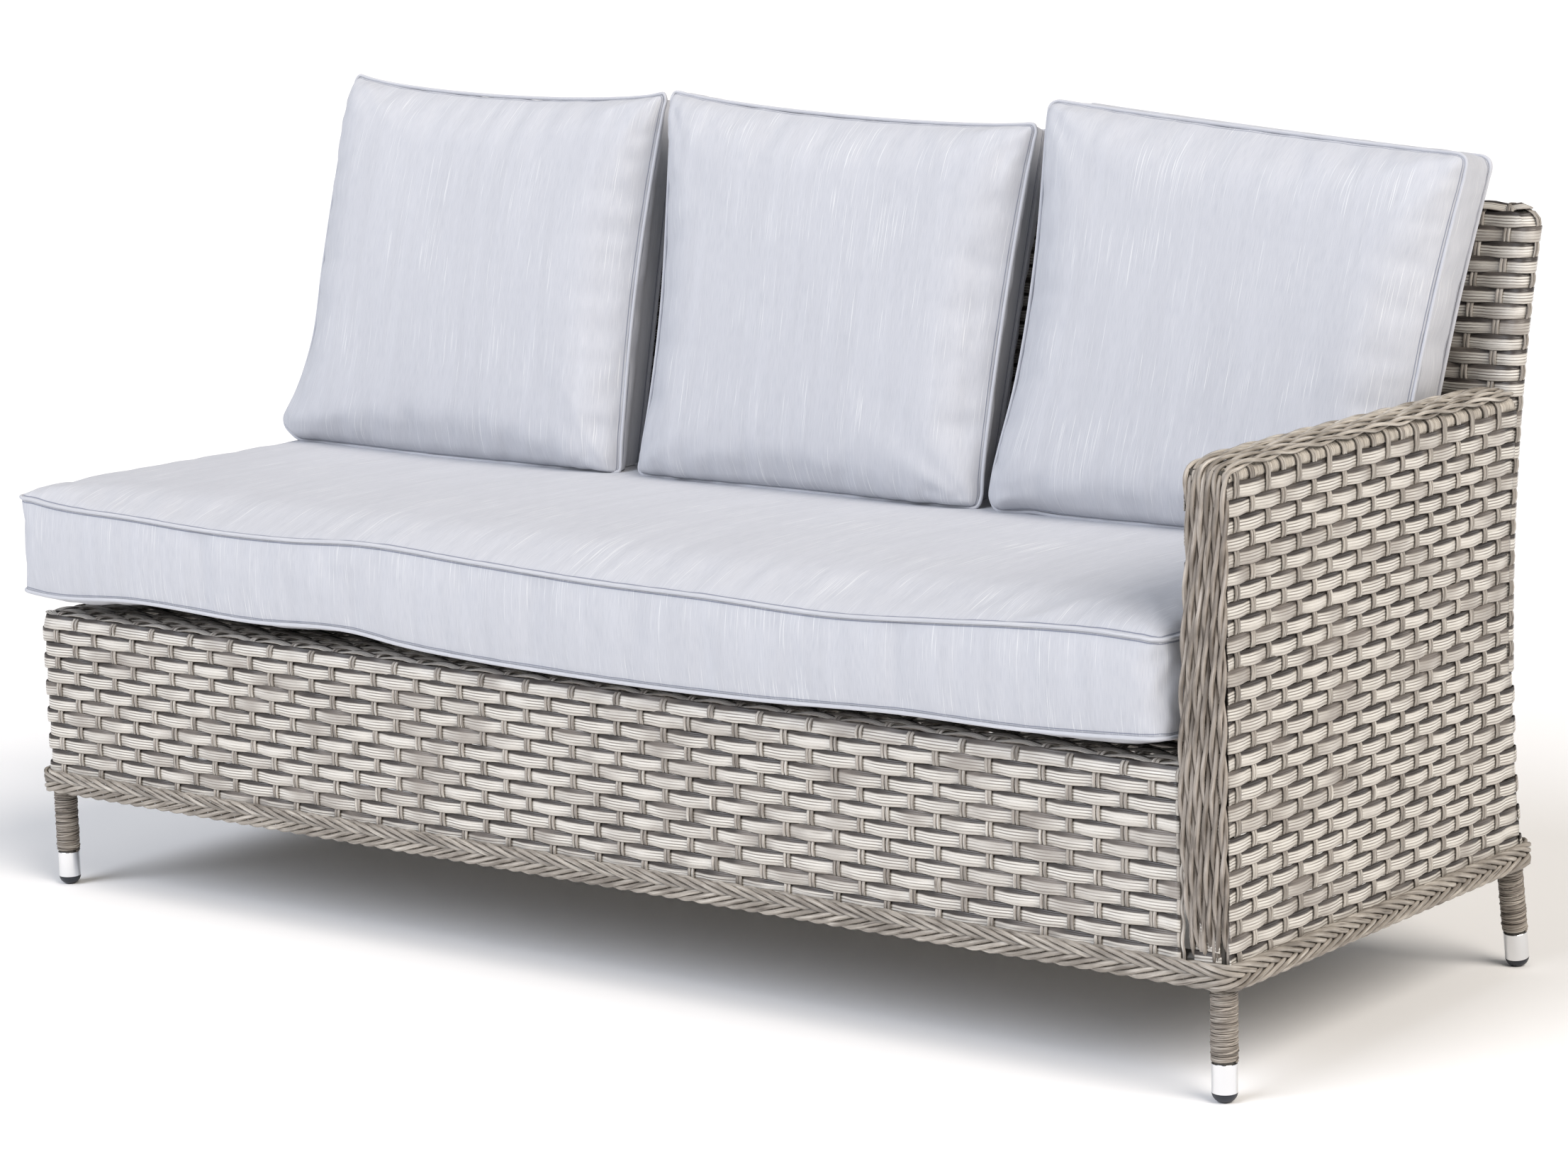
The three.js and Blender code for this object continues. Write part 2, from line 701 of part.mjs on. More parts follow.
function armPlaitPoint(u, v, share) {
  const along = v * (turnSeat + armPlaitRun);
  const turn = Math.min(along / turnSeat, 1) * (Math.PI / 2);
  const rise = share * mix(plaitSeat + PLAIT_DEPTH, PLAIT_CROWN, Math.sin(turn));
  const outerX = BODY_LENGTH - PLAIT_INSET * Math.sin(turn);
  const seatZ = postPlaitTop + GAP;
  const y = plaitSeat + PLAIT_ROUND - (PLAIT_ROUND + rise) * Math.cos(turn) + Math.max(0, along - turnSeat);
  return vec(mix(armInnerFace, outerX, u), y, seatZ + (PLAIT_ROUND + rise) * Math.sin(turn));
}

const armPlaitTurn = turnSeat / (turnSeat + armPlaitRun);
const armOuterEdge = BODY_LENGTH - PLAIT_INSET;
const armPlaitSeat = [
  [plaitSeat, postPlaitTop + GAP],
  [plaitSeat, armPlaitFloor],
  [plaitSeat + PLAIT_ROUND + armPlaitRun, armPlaitFloor],
];
const armPlaitVs = [
  ...span(0, armPlaitTurn, ARC_STEPS).slice(0, -1),
  ...span(armPlaitTurn, 1, Math.round(armPlaitRun / PLAIT_STEP)),
];
addPart(
  "arm_top_plait",
  "cane",
  skin(
    armPlaitVs.map((v) =>
      plaitUs.map((u) => armPlaitPoint(u, v, twistShare(u, postPlaitRise + v * (turnSeat + armPlaitRun)))),
    ),
    armPlaitSeat.map(([y, z]) => plaitUs.map((u) => vec(mix(armInnerFace, armOuterEdge, u), y, z))),
  ),
);

// Feet

// The thin strand wound on a leg is one unbroken helix of three sides, flat against the tube.
const WINDING_STEPS = 8;
const windingSeat = (POST_DIAMETER / 2 + GAP) / Math.cos(Math.PI / WINDING_STEPS);

function windingRings() {
  const foot = SLEEVE_TOP + GAP;
  const pitch = (WINDING_TOP - foot - WINDING_WIDTH) / WINDING_TURNS;
  return Array.from({ length: WINDING_TURNS * WINDING_STEPS + 1 }, (_, i) => {
    const angle = (2 * Math.PI * i) / WINDING_STEPS;
    const low = foot + (pitch * i) / WINDING_STEPS;
    const at = (radius, z) => vec(radius * Math.cos(angle), radius * Math.sin(angle), z);
    return [
      at(windingSeat, low),
      at(windingSeat, low + WINDING_WIDTH),
      at(windingSeat + WINDING_RISE, low + WINDING_WIDTH / 2),
    ];
  });
}

// The least distance between a winding's own turns, over the points of neighbouring turns.
function leastGap(rings) {
  let least = Infinity;
  for (let i = 0; i + WINDING_STEPS < rings.length; i++) {
    for (let j = i + WINDING_STEPS - 1; j <= Math.min(i + WINDING_STEPS + 1, rings.length - 1); j++) {
      for (const p of rings[i]) {
        for (const q of rings[j]) least = Math.min(least, p.distanceTo(q));
      }
    }
  }
  return least;
}

// Caps are turned, with a spigot up the tube, and stand on a small flat cut at the floor.
function capGeometry(place) {
  const radius = SLEEVE_DIAMETER / 2;
  const depth = CAP_HEIGHT + CAP_UNDERCUT;
  const dome = span(0, Math.PI / 2, DOME_STEPS).map(
    (angle) => new THREE.Vector2(radius * Math.sin(angle), CAP_HEIGHT - depth * Math.cos(angle)),
  );
  const spigot = (POST_DIAMETER / 2 - POST_WALL) * Math.cos(Math.PI / TUBE_SIDES) - GAP;
  const profile = [
    ...dome,
    new THREE.Vector2(spigot, CAP_HEIGHT),
    new THREE.Vector2(spigot, CAP_HEIGHT + CAP_SPIGOT),
    new THREE.Vector2(0, CAP_HEIGHT + CAP_SPIGOT),
  ];
  const turned = new THREE.LatheGeometry(profile, ROUND_SIDES).rotateX(Math.PI / 2).applyMatrix4(place);
  const floor = new THREE.BoxGeometry(4 * radius, 4 * radius, 2 * radius);
  const foot = new THREE.Vector3().setFromMatrixPosition(place);
  return cut(turned, [floor.translate(foot.x, foot.y, -radius)]);
}

function sleeveGeometry() {
  const outside = SLEEVE_DIAMETER / 2;
  const inside = outside - SLEEVE_WALL;
  const profile = [
    new THREE.Vector2(inside, tubeFoot),
    new THREE.Vector2(outside, tubeFoot),
    new THREE.Vector2(outside, SLEEVE_TOP),
    new THREE.Vector2(inside, SLEEVE_TOP),
    new THREE.Vector2(inside, tubeFoot),
  ];
  return new THREE.LatheGeometry(profile, ROUND_SIDES).rotateX(Math.PI / 2);
}

const feet = {
  front_left: { x: leftPostX, y: postInset, tilt: 0 },
  front_right: { x: rightPostX, y: postInset, tilt: 0 },
  rear_left: { x: leftPostX, y: backDepth(0), tilt: legTilt },
  rear_right: { x: rightPostX, y: backDepth(0), tilt: legTilt },
};

const winding = windingRings();
console.log(`leg windings: least gap between turns ${leastGap(winding).toFixed(2)} mm`);

for (const [corner, { x, y, tilt }] of Object.entries(feet)) {
  const place = new THREE.Matrix4().makeRotationX(tilt).setPosition(x, y, 0);
  addPart(`${corner}_foot_cap`, "cap", capGeometry(place));
  addPart(`${corner}_sleeve`, "sleeve", sleeveGeometry().applyMatrix4(place));
  addPart(`${corner}_winding`, "cane", loft(winding).applyMatrix4(place));
}

// Cushions

// The outline of a cushion: rounded corners joined by sides that draw in between them.
function cushionOutline(width, height, drawIn, wide, tall) {
  const [halfW, halfH] = [width / 2, height / 2];
  const side = (from, to, inward, steps) =>
    span(0, 1, steps)
      .slice(1, -1)
      .map((t) => from.clone().lerp(to, t).addScaledVector(inward, drawIn * Math.sin(Math.PI * t)));
  const corner = (cx, cy, from) =>
    span(from, from + Math.PI / 2, 2).map((angle) =>
      vec(cx + CUSHION_CORNER * Math.cos(angle), cy + CUSHION_CORNER * Math.sin(angle), 0),
    );
  const [cx, cy] = [halfW - CUSHION_CORNER, halfH - CUSHION_CORNER];
  return [
    ...corner(-cx, -cy, Math.PI),
    ...side(vec(-cx, -halfH, 0), vec(cx, -halfH, 0), vec(0, 1, 0), wide),
    ...corner(cx, -cy, -Math.PI / 2),
    ...side(vec(halfW, -cy, 0), vec(halfW, cy, 0), vec(-1, 0, 0), tall),
    ...corner(cx, cy, 0),
    ...side(vec(cx, halfH, 0), vec(-cx, halfH, 0), vec(0, -1, 0), wide),
    ...corner(-cx, cy, Math.PI / 2),
    ...side(vec(-halfW, cy, 0), vec(-halfW, -cy, 0), vec(1, 0, 0), tall),
  ];
}

// Rings of a cushion's one face, from the boxing out over the welt and up the crown. Each has the
// share of the way in to the middle, the share of the crown and the offset from the seam.
const FACE_RING_SHARES = [
  { inShare: 0, crownShare: 0, out: -WELT, up: -2 * WELT },
  { inShare: 0, crownShare: 0, out: WELT / 2, up: -WELT / 2 },
  { inShare: 0.02, crownShare: 0.08, out: -WELT, up: WELT / 2 },
  { inShare: 0.2, crownShare: 0.5, out: 0, up: 0 },
  { inShare: 0.5, crownShare: 0.86, out: 0, up: 0 },
  { inShare: 0.88, crownShare: 1, out: 0, up: 0 },
];

// One ring: the outline drawn in by the same distance on every side, at the height that level gives.
function cushionRing(outline, width, height, ring, level) {
  const inward = (ring.inShare * Math.min(width, height)) / 2 - ring.out;
  const [sx, sy] = [1 - (2 * inward) / width, 1 - (2 * inward) / height];
  return outline.map((p) => {
    const q = vec(p.x * sx, p.y * sy, 0);
    q.z = level(q.x, q.y, ring);
    return q;
  });
}

// Seat cushion. Its front seam sags between the corners and its lower edge lifts towards the ends.
const seatLength = armInnerFace - CUSHION_GAP + SEAT_END_OVERHANG;
const seatRear = frontOfBack(BACK_FORE_HEIGHT) - CUSHION_GAP;
const seatDepth = seatRear + SEAT_FRONT_OVERHANG;
const seatCentre = vec(seatLength / 2 - SEAT_END_OVERHANG, seatRear - seatDepth / 2, 0);
const seatFloor = DECK_HEIGHT + GAP;
const SAG_SKEW = 1.5;
const LIFT_LOW_SHARE = 0.575;

function seatTopLevel(x, y, ring) {
  const s = THREE.MathUtils.clamp(x / seatLength + 1 / 2, 0, 1);
  const front = THREE.MathUtils.clamp(1 / 2 - y / seatDepth, 0, 1);
  const seam = SEAT_SEAM_HEIGHT - SEAT_SAG * Math.sin(Math.PI * s ** SAG_SKEW) * front;
  return mix(seam, SEAT_CROWN_HEIGHT, ring.crownShare) + ring.up;
}

function seatBottomLevel(x, y, ring) {
  const s = x / seatLength + 1 / 2;
  const lift = 4 * SEAT_LIFT * (s - LIFT_LOW_SHARE) ** 2;
  return seatFloor + (1 - ring.crownShare) * lift - Math.min(ring.up, 0);
}

const SEAT_EDGE_STEPS = { along: 12, deep: 5 };
const seatOutline = cushionOutline(
  seatLength,
  seatDepth,
  SEAT_DRAW_IN,
  SEAT_EDGE_STEPS.along,
  SEAT_EDGE_STEPS.deep,
);
const seatRingsOf = (level) =>
  FACE_RING_SHARES.map((ring) => cushionRing(seatOutline, seatLength, seatDepth, ring, level));
const FLAT_RINGS = 5;
const seatCushion = loft([
  ...seatRingsOf((x, y, ring) => seatBottomLevel(x, y, { ...ring, crownShare: ring.inShare > 0.1 ? 1 : 0 }))
    .slice(0, FLAT_RINGS)
    .reverse(),
  ...seatRingsOf(seatTopLevel),
]).translate(seatCentre.x, seatCentre.y, 0);
addPart("seat_cushion", "fabric", seatCushion);

// Back cushions stand on the seat cushion and lean on the backrest. Their corners are shares of the
// seat's run between the open end and the arm, at the foot and the head. Sink and slump are the
// shares of the height by which the head is lower, at its left corner and from there to its right.
const BACK_CUSHION_SHARES = {
  left: { foot: [0.002, 0.35], head: [0.023, 0.337], sink: 0, slump: 0.03 },
  middle: { foot: [0.366, 0.671], head: [0.344, 0.672], sink: 0.03, slump: 0.06 },
  right: { foot: [0.68, 0.99], head: [0.681, 1.011], sink: 0.03, slump: 0.1 },
};
const MIDDLE_SHARE = 1 / 2;
const BACK_EDGE_STEPS = 6;

function backCushion({ foot, head, sink, slump }) {
  const height = BACK_CUSHION_HEIGHT;
  const width = armInnerFace * (head[1] - head[0]);
  const centreX = armInnerFace * mix(head[0], head[1], MIDDLE_SHARE);
  const outline = cushionOutline(
    width,
    height,
    BACK_CUSHION_DRAW_IN,
    BACK_EDGE_STEPS,
    BACK_EDGE_STEPS,
  );
  const face = (sign) =>
    FACE_RING_SHARES.map((ring) =>
      cushionRing(outline, width, height, ring, () => {
        return sign * (BACK_CUSHION_BOXING / 2 + BACK_CUSHION_CROWN * ring.crownShare + ring.up);
      }),
    );
  const body = loft([...face(-1).reverse(), ...face(1)]);
  const place = body.attributes.position;
  for (let i = 0; i < place.count; i++) {
    const [across, up] = [place.getX(i) / width + MIDDLE_SHARE, place.getY(i) / height + MIDDLE_SHARE];
    const narrowing = armInnerFace * (1 - up) * mix(foot[0] - head[0], foot[1] - head[1], across);
    place.setX(i, place.getX(i) + narrowing);
    place.setY(i, place.getY(i) - height * up * (sink + slump * across));
  }
  const lean = new THREE.Matrix4().makeRotationX(Math.PI / 2 - BACK_CUSHION_LEAN);
  const seamFoot = vec(0, -height / 2, BACK_CUSHION_BOXING / 2).applyMatrix4(lean);
  const footHeight = SEAT_CROWN_HEIGHT + BACK_CUSHION_LIFT;
  lean.setPosition(centreX, BACK_CUSHION_DEPTH - seamFoot.y, footHeight - seamFoot.z);
  const seat = seatCushion.clone().translate(0, 0, GAP);
  return cut(body.applyMatrix4(lean), [seat, backEnvelope]);
}

for (const [name, shares] of Object.entries(BACK_CUSHION_SHARES)) {
  addPart(`back_cushion_${name}`, "fabric", backCushion(shares));
}

// The finished sofa, with its origin on the floor under the middle of its length and depth

const FINISHES = {
  frame: { color: 0x4a4742, roughness: 0.55, metalness: 0.6 },
  weave: { color: 0xb7b0a4, roughness: 0.6, metalness: 0 },
  cane: { color: 0x9c9488, roughness: 0.6, metalness: 0 },
  sleeve: { color: 0xe4e5e6, roughness: 0.22, metalness: 1 },
  cap: { color: 0x1f242b, roughness: 0.5, metalness: 0 },
  fabric: { color: 0xc3cbd6, roughness: 0.9, metalness: 0 },
};

const sofa = new THREE.Group();
sofa.position.set(-BODY_LENGTH / 2, (SEAT_FRONT_OVERHANG - rearFace(topRailHeight)) / 2, 0);
for (const { name, finish, geometry } of parts) {
  const mesh = new THREE.Mesh(geometry, new THREE.MeshStandardMaterial(FINISHES[finish]));
  mesh.name = name;
  sofa.add(mesh);
}

export default new THREE.Group().add(sofa);
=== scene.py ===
import json
import math

import bmesh
import bpy
import numpy as np
from mathutils import Matrix, Vector


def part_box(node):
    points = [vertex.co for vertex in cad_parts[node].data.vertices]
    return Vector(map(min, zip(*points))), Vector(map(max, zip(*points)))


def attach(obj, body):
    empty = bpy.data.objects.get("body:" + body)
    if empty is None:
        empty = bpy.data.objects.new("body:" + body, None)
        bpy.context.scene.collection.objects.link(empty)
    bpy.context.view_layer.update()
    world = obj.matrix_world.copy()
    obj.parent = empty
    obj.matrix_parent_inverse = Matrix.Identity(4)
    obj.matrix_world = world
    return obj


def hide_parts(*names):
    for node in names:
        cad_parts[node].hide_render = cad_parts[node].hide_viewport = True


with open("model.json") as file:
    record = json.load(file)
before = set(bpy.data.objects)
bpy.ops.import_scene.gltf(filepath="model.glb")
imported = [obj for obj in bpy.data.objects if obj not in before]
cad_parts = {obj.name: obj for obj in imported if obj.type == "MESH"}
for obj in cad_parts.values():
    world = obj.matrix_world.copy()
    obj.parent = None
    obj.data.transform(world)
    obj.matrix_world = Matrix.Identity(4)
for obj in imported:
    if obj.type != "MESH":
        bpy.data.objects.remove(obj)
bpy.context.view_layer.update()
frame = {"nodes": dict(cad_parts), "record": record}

# Front and left end of the base: flat strand woven over pairs of thin ties, turning the left corner
# round the leg and folding back over the top rails onto the deck. Strand and ties are real ribbons.
# Lengths are millimetres from the woven body's front left floor corner.

leg_low, leg_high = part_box("front_left_leg")
POST_INSET = 16.4
RAIL_INSET = 13.4
LEFT = (leg_low.x + leg_high.x) / 2 - POST_INSET / 1000
FRONT = (leg_low.y + leg_high.y) / 2 - POST_INSET / 1000
DECK = 361.0
ARM_FACE = 1742.0
RAIL_HEIGHT = DECK - RAIL_INSET
FOOT = 146.5
COURSE = 17.75
BASE_ROWS = 12
MID = 1.5
STRAND_WIDTH = 17.9
STRAND_THICK = 1.3
STRAND_WAVE = 1.6
TIE_WIDTH = 4.6
TIE_THICK = 2.0
TIE_WAVE = 1.6
TIE_SPREAD = 2.35
FLAT_SECTION = [(-0.5, 0.0), (-0.44, -0.5), (0.0, -0.5), (0.44, -0.5), (0.5, 0.0)]
FLAT_SECTION += [(0.45, 0.4), (0.0, 0.75), (-0.45, 0.4)]
LEAN_SECTION = [(-0.5, 0.0), (-0.4, -0.5), (0.4, -0.5), (0.5, 0.0), (0.43, 0.45), (-0.43, 0.45)]
TIE_SECTION = [(-0.5, 0.0), (-0.3, -0.5), (0.3, -0.5), (0.5, 0.0), (0.28, 0.5), (-0.28, 0.5)]


def linear(code):
    """An sRGB hex colour as linear red, green and blue, with alpha."""
    channels = [int(code[i : i + 2], 16) / 255 for i in (1, 3, 5)]
    return (*(c / 12.92 if c <= 0.04045 else ((c + 0.055) / 1.055) ** 2.4 for c in channels), 1.0)


def material(name, code, roughness, metallic=0.0):
    made = bpy.data.materials.new(name)
    made.use_nodes = True
    shader = made.node_tree.nodes["Principled BSDF"]
    for key, value in (("Base Color", linear(code)), ("Roughness", roughness), ("Metallic", metallic)):
        shader.inputs[key].default_value = value
    return made


def add(tree, kind, inputs=(), out=0, stops=(), **settings):
    """Adds a node: its settings, its inputs set or linked, a ramp's stops. Gives back one output."""
    made = tree.nodes.new(f"ShaderNode{kind}")
    for key, value in settings.items():
        setattr(made, key, value)
    for key, value in inputs.items() if isinstance(inputs, dict) else enumerate(inputs):
        if isinstance(value, bpy.types.NodeSocket):
            tree.links.new(value, made.inputs[key])
        else:
            made.inputs[key].default_value = value
    if stops:
        marks = made.color_ramp.elements
        while len(marks) < len(stops):
            marks.new(0.5)
        for mark, (place, code) in zip(marks, stops):
            mark.position = place
            mark.color = linear(code)
    return made.outputs[out]


def noises(tree, place, kinds):
    """Noise over a place, for each kind's cells in a metre along, across and between strands."""
    made = []
    for cells, detail in kinds:
        placed = add(tree, "Mapping", {"Vector": place, "Scale": cells})
        made.append(add(tree, "TexNoise", {"Vector": placed, "Scale": 1, "Detail": detail}, "Fac"))
    return made


def dress(made, colour, layers, depth, strength, height):
    """Lays layers over a colour and joins it to the shader, with a relief so many metres deep."""
    tree = made.node_tree
    shader = tree.nodes["Principled BSDF"]
    for amount, layer, way in layers:
        colour = add(tree, "Mix", {0: amount, 6: colour, 7: layer}, 2, data_type="RGBA", blend_type=way)
    bump = add(tree, "Bump", {"Strength": strength, "Distance": depth, "Height": height})
    tree.links.new(colour, shader.inputs["Base Color"])
    tree.links.new(bump, shader.inputs["Normal"])
    return made


def strand_places(tree, spread):
    """Metres along a strand, share across it, its own tone, and a place in noise that no other has."""
    uv = add(tree, "UVMap", uv_map="strand")
    along, across = (add(tree, "SeparateXYZ", [uv], axis) for axis in "XY")
    tone = add(tree, "Attribute", out="Fac", attribute_name="tone")
    own = add(tree, "Math", [tone, spread], operation="MULTIPLY")
    return along, across, tone, add(tree, "CombineXYZ", [along, across, own])


def strand_material():
    """Extruded polyethylene with a satin skin: cream with fine brown lines and a dark upper band, partly the
    strand's own colour and partly painted shade from the course above.

    The lines fade for some 60 mm at a time and dull patches are 90 mm long, so no two strands match.
    """
    made = material("flat strand", "#ffffff", 0.36)
    tree = made.node_tree
    _, across, _, row = strand_places(tree, 37.0)
    kinds = ((5, 0, 1), 2), ((17, 1.5, 5), 2), ((420, 60, 1), 4), ((11, 0.3, 3), 2)
    drift, fading, grain, patch = noises(tree, row, kinds)
    shifted = add(tree, "Math", [across, 0.15], operation="SUBTRACT")
    place = add(tree, "Math", [drift, 0.3, shifted], operation="MULTIPLY_ADD")
    # Both ramps' dark upper band is partly the strand's own colour and partly painted shade under the course
    # above.
    lined = [
        (0.0, "#7d756e"), (0.05, "#c3beb5"), (0.13, "#d4cfc7"), (0.175, "#8e8780"), (0.2, "#8e8780"),
        (0.245, "#d8d4cb"), (0.32, "#dfdcd4"), (0.365, "#837c75"), (0.39, "#837c75"), (0.435, "#e2dfd8"),
        (0.5, "#e7e4dd"), (0.545, "#817a73"), (0.57, "#817a73"), (0.615, "#dedad2"), (0.68, "#cfcbc2"),
        (0.73, "#5e5753"), (0.78, "#3d3835"), (1.0, "#2f2b2a"),
    ]
    plain = [
        (0.0, "#8d857d"), (0.1, "#c9c4bb"), (0.5, "#dedad3"), (0.66, "#d0cbc3"), (0.78, "#47413e"),
        (1.0, "#34302e"),
    ]
    worn = [(0.32, "#8f8983"), (0.6, "#ffffff")]
    ramps = ((place, lined), (place, plain), (grain, worn))
    colour, plain, worn = (add(tree, "ValToRGB", [by], stops=stops) for by, stops in ramps)
    faded = add(tree, "Math", [fading, 5.0, -2.35], operation="MULTIPLY_ADD", use_clamp=True)
    faded = add(tree, "Math", [faded, 0.8], operation="MULTIPLY")
    dull = add(tree, "Math", [patch, 4.6, -2.254], operation="MULTIPLY_ADD", use_clamp=True)
    dull = add(tree, "Math", [dull, 0.68], operation="MULTIPLY")
    layers = ((faded, plain, "MIX"), (0.15, worn, "MULTIPLY"), (dull, linear("#857d76"), "MIX"))
    ribs = add(tree, "Math", [across, 50.0], operation="MULTIPLY")
    return dress(made, colour, layers, 0.0005, 0.25, add(tree, "Math", [ribs], operation="SINE"))


def cane_material(name, light, base, dark, share, start="#ffffff"):
    """Round synthetic cane, matt: streaks of three tones along it, and worn patches that darken it.

    Each cane has its own tone. Start tints its first half metre with painted shade, for a stretch that stands
    in shadow.
    """
    made = material(name, "#ffffff", 0.5)
    tree = made.node_tree
    along, _, tone, row = strand_places(tree, 53.0)
    streaks, patches = noises(tree, row, [((30, 7, 1), 4), ((22, 0.6, 1), 3)])
    own = add(tree, "Math", [tone, 7.0], operation="MULTIPLY")
    own = add(tree, "Math", [own], operation="FRACT")
    own = add(tree, "Math", [own, 0.5], operation="MULTIPLY")
    tones = [(0.3, dark), (0.42, base), (0.52, base), (0.66, light), (1.0, light)]
    colour = add(tree, "ValToRGB", [streaks], stops=tones)
    worn = add(tree, "ValToRGB", [patches], stops=[(0.36, "#79716a"), (0.56, "#ffffff")])
    # Painted shade: the first half metre of each cane is tinted by start.
    first = add(tree, "ValToRGB", [along], stops=[(0.5, start), (0.56, "#ffffff")])
    layers = ((own, linear(dark), "MIX"), (share, worn, "MULTIPLY"), (1.0, first, "MULTIPLY"))
    return dress(made, colour, layers, 0.0005, 0.5, streaks)


STRAND = strand_material()
TIE = cane_material("tie strand", "#dcd8cf", "#b4ada4", "#6b645e", 0.5)


def unit(rows):
    return rows / np.maximum(np.linalg.norm(rows, axis=1, keepdims=True), 1e-9)


class Strands:
    """Collects strands as rings of points and makes one object of them."""

    def __init__(self):
        self.points, self.loops, self.starts, self.totals = [], [], [], []
        self.places, self.tones = [], []
        self.count = self.corner = 0

    def add(self, centre, across, out, section, tone=0.0, closed=False, flat=False):
        """One strand. Across and out are the section's axes at each point, already to size."""
        keep = np.r_[True, np.linalg.norm(np.diff(centre, axis=0), axis=1) > 0.6]
        centre, across, out = centre[keep], across[keep], out[keep]
        n, section = len(centre), np.array(section, float)
        ahead = centre[1] - centre[0]
        if np.dot(np.cross(across[0], out[0]), ahead) < 0:
            section = section[::-1]
        k = len(section)
        ring = centre[:, None] + across[:, None] * section[:, :1] + out[:, None] * section[:, 1:]
        steps = np.linalg.norm(np.diff(centre, axis=0), axis=1)
        length = np.r_[0, np.cumsum(steps)] / 1000
        runs = n if closed else n - 1
        i, j = np.repeat(np.arange(runs), k), np.tile(np.arange(k), runs)
        i2, j2 = (i + 1) % n, (j + 1) % k
        quads = np.stack([i * k + j, i * k + j2, i2 * k + j2, i2 * k + j], 1)
        last = length[-1] + (np.linalg.norm(centre[-1] - centre[0]) / 1000 if closed else 0)
        ends = np.where(i + 1 < n, length[np.minimum(i + 1, n - 1)], last)
        side = section[:, 0] + 0.5 if flat else np.arange(k) / k
        edge = np.where(j2 == 0, side[0] if flat else 1.0, side[j2])
        u = np.stack([length[i], length[i], ends, ends], 1)
        v = np.stack([side[j], edge, edge, side[j]], 1)
        self.points.append(ring.reshape(-1, 3))
        self.tones.append(np.full(n * k, tone))
        self._faces(quads + self.count, np.stack([u, v], 2))
        if not closed:
            for first, turned, at in ((0, True, 0.0), ((n - 1) * k, False, length[-1])):
                cap = np.arange(first, first + k)[:: -1 if turned else 1]
                rim = side[:: -1 if turned else 1]
                self._faces(cap[None] + self.count, np.stack([np.full(k, at), rim], 1)[None])
        self.count += n * k

    def _faces(self, corners, places):
        faces, size = corners.shape
        self.loops.append(corners.ravel())
        self.places.append(places.reshape(-1, 2))
        self.starts.append(self.corner + np.arange(faces) * size)
        self.totals.append(np.full(faces, size))
        self.corner += faces * size

    def build(self, name, finish, slot, nodes=()):
        mesh = bpy.data.meshes.new(name)
        points = np.concatenate(self.points) / 1000 + (LEFT, FRONT, 0)
        mesh.vertices.add(len(points))
        mesh.vertices.foreach_set("co", points.ravel().astype(np.float32))
        loops = np.concatenate(self.loops).astype(np.int32)
        mesh.loops.add(len(loops))
        mesh.loops.foreach_set("vertex_index", loops)
        starts = np.concatenate(self.starts).astype(np.int32)
        mesh.polygons.add(len(starts))
        mesh.polygons.foreach_set("loop_start", starts)
        mesh.polygons.foreach_set("loop_total", np.concatenate(self.totals).astype(np.int32))
        mesh.update(calc_edges=True)
        layer = mesh.uv_layers.new(name="strand")
        layer.data.foreach_set("uv", np.concatenate(self.places).ravel().astype(np.float32))
        tones = mesh.attributes.new("tone", "FLOAT", "POINT")
        tones.data.foreach_set("value", np.concatenate(self.tones).astype(np.float32))
        mesh.validate()
        mesh.shade_smooth()
        mesh.materials.append(finish)
        return settle(bpy.data.objects.new(name, mesh), nodes)


def settle(piece, nodes=()):
    """Links a finished piece, hides the CAD parts that it stands for and lets it go with the sofa."""
    if piece.name not in bpy.context.scene.collection.objects:
        bpy.context.scene.collection.objects.link(piece)
    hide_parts(*nodes)
    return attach(piece, "root")


def axes(surface, s, t, h):
    """Points on a surface, with unit vectors up it and out of it."""
    s, t, h = np.broadcast_arrays(np.asarray(s, float), t, h)
    centre = surface(s, t, h)
    up = unit(surface(s, t + 0.5, h) - surface(s, t - 0.5, h))
    out = unit(surface(s, t, h + 0.5) - surface(s, t, h - 0.5))
    return centre, up, out


def stations(low, high, columns, steps, row):
    """Places along a course from low to high, with the count of ties passed, and how high it rides."""
    inside = [c for c in columns if low < c < high]
    marks = np.array([low, *inside, high])
    parts = [np.linspace(a, b, steps, endpoint=False) for a, b in zip(marks, marks[1:])]
    places = np.concatenate([*parts, [high]])
    order = np.argsort(columns)
    first, last = columns[order[0]], columns[order[-1]]
    pitch = (last - first) / (len(columns) - 1)
    known = np.r_[first - pitch * np.arange(3, 0, -1), columns[order], last + pitch * np.arange(1, 4)]
    sign = 1 if order[0] == 0 else -1
    numbers = np.r_[order[0] - sign * np.arange(3, 0, -1), order, order[-1] + sign * np.arange(1, 4)]
    ride = -np.cos(math.pi * (np.interp(places, known, numbers) + row))
    return places, ride


def add_courses(strands, surface, rows, heights, span, columns, parity, steps, seed, section=FLAT_SECTION):
    """Flat strands of a panel: each dips under its ties and rides up between them."""
    chance = np.random.default_rng(seed)
    for row in rows:
        low, high = span(row)
        s, ride = stations(low, high, columns, steps, row + parity)
        crest = ride * (1.45 - 0.45 * ride**2)
        sway = 0.35 * np.sin(s / 57 + chance.uniform(0, 6)) + chance.normal(0, 0.2)
        t = heights[row] + sway
        centre, up, out = axes(surface, s, t, STRAND_WAVE * crest)
        width = STRAND_WIDTH + 1.3 * ride**2
        across = up * width[:, None] + out * (0.5 * ride - 0.5)[:, None]
        strands.add(centre, across, out * STRAND_THICK, section, chance.random(), flat=True)


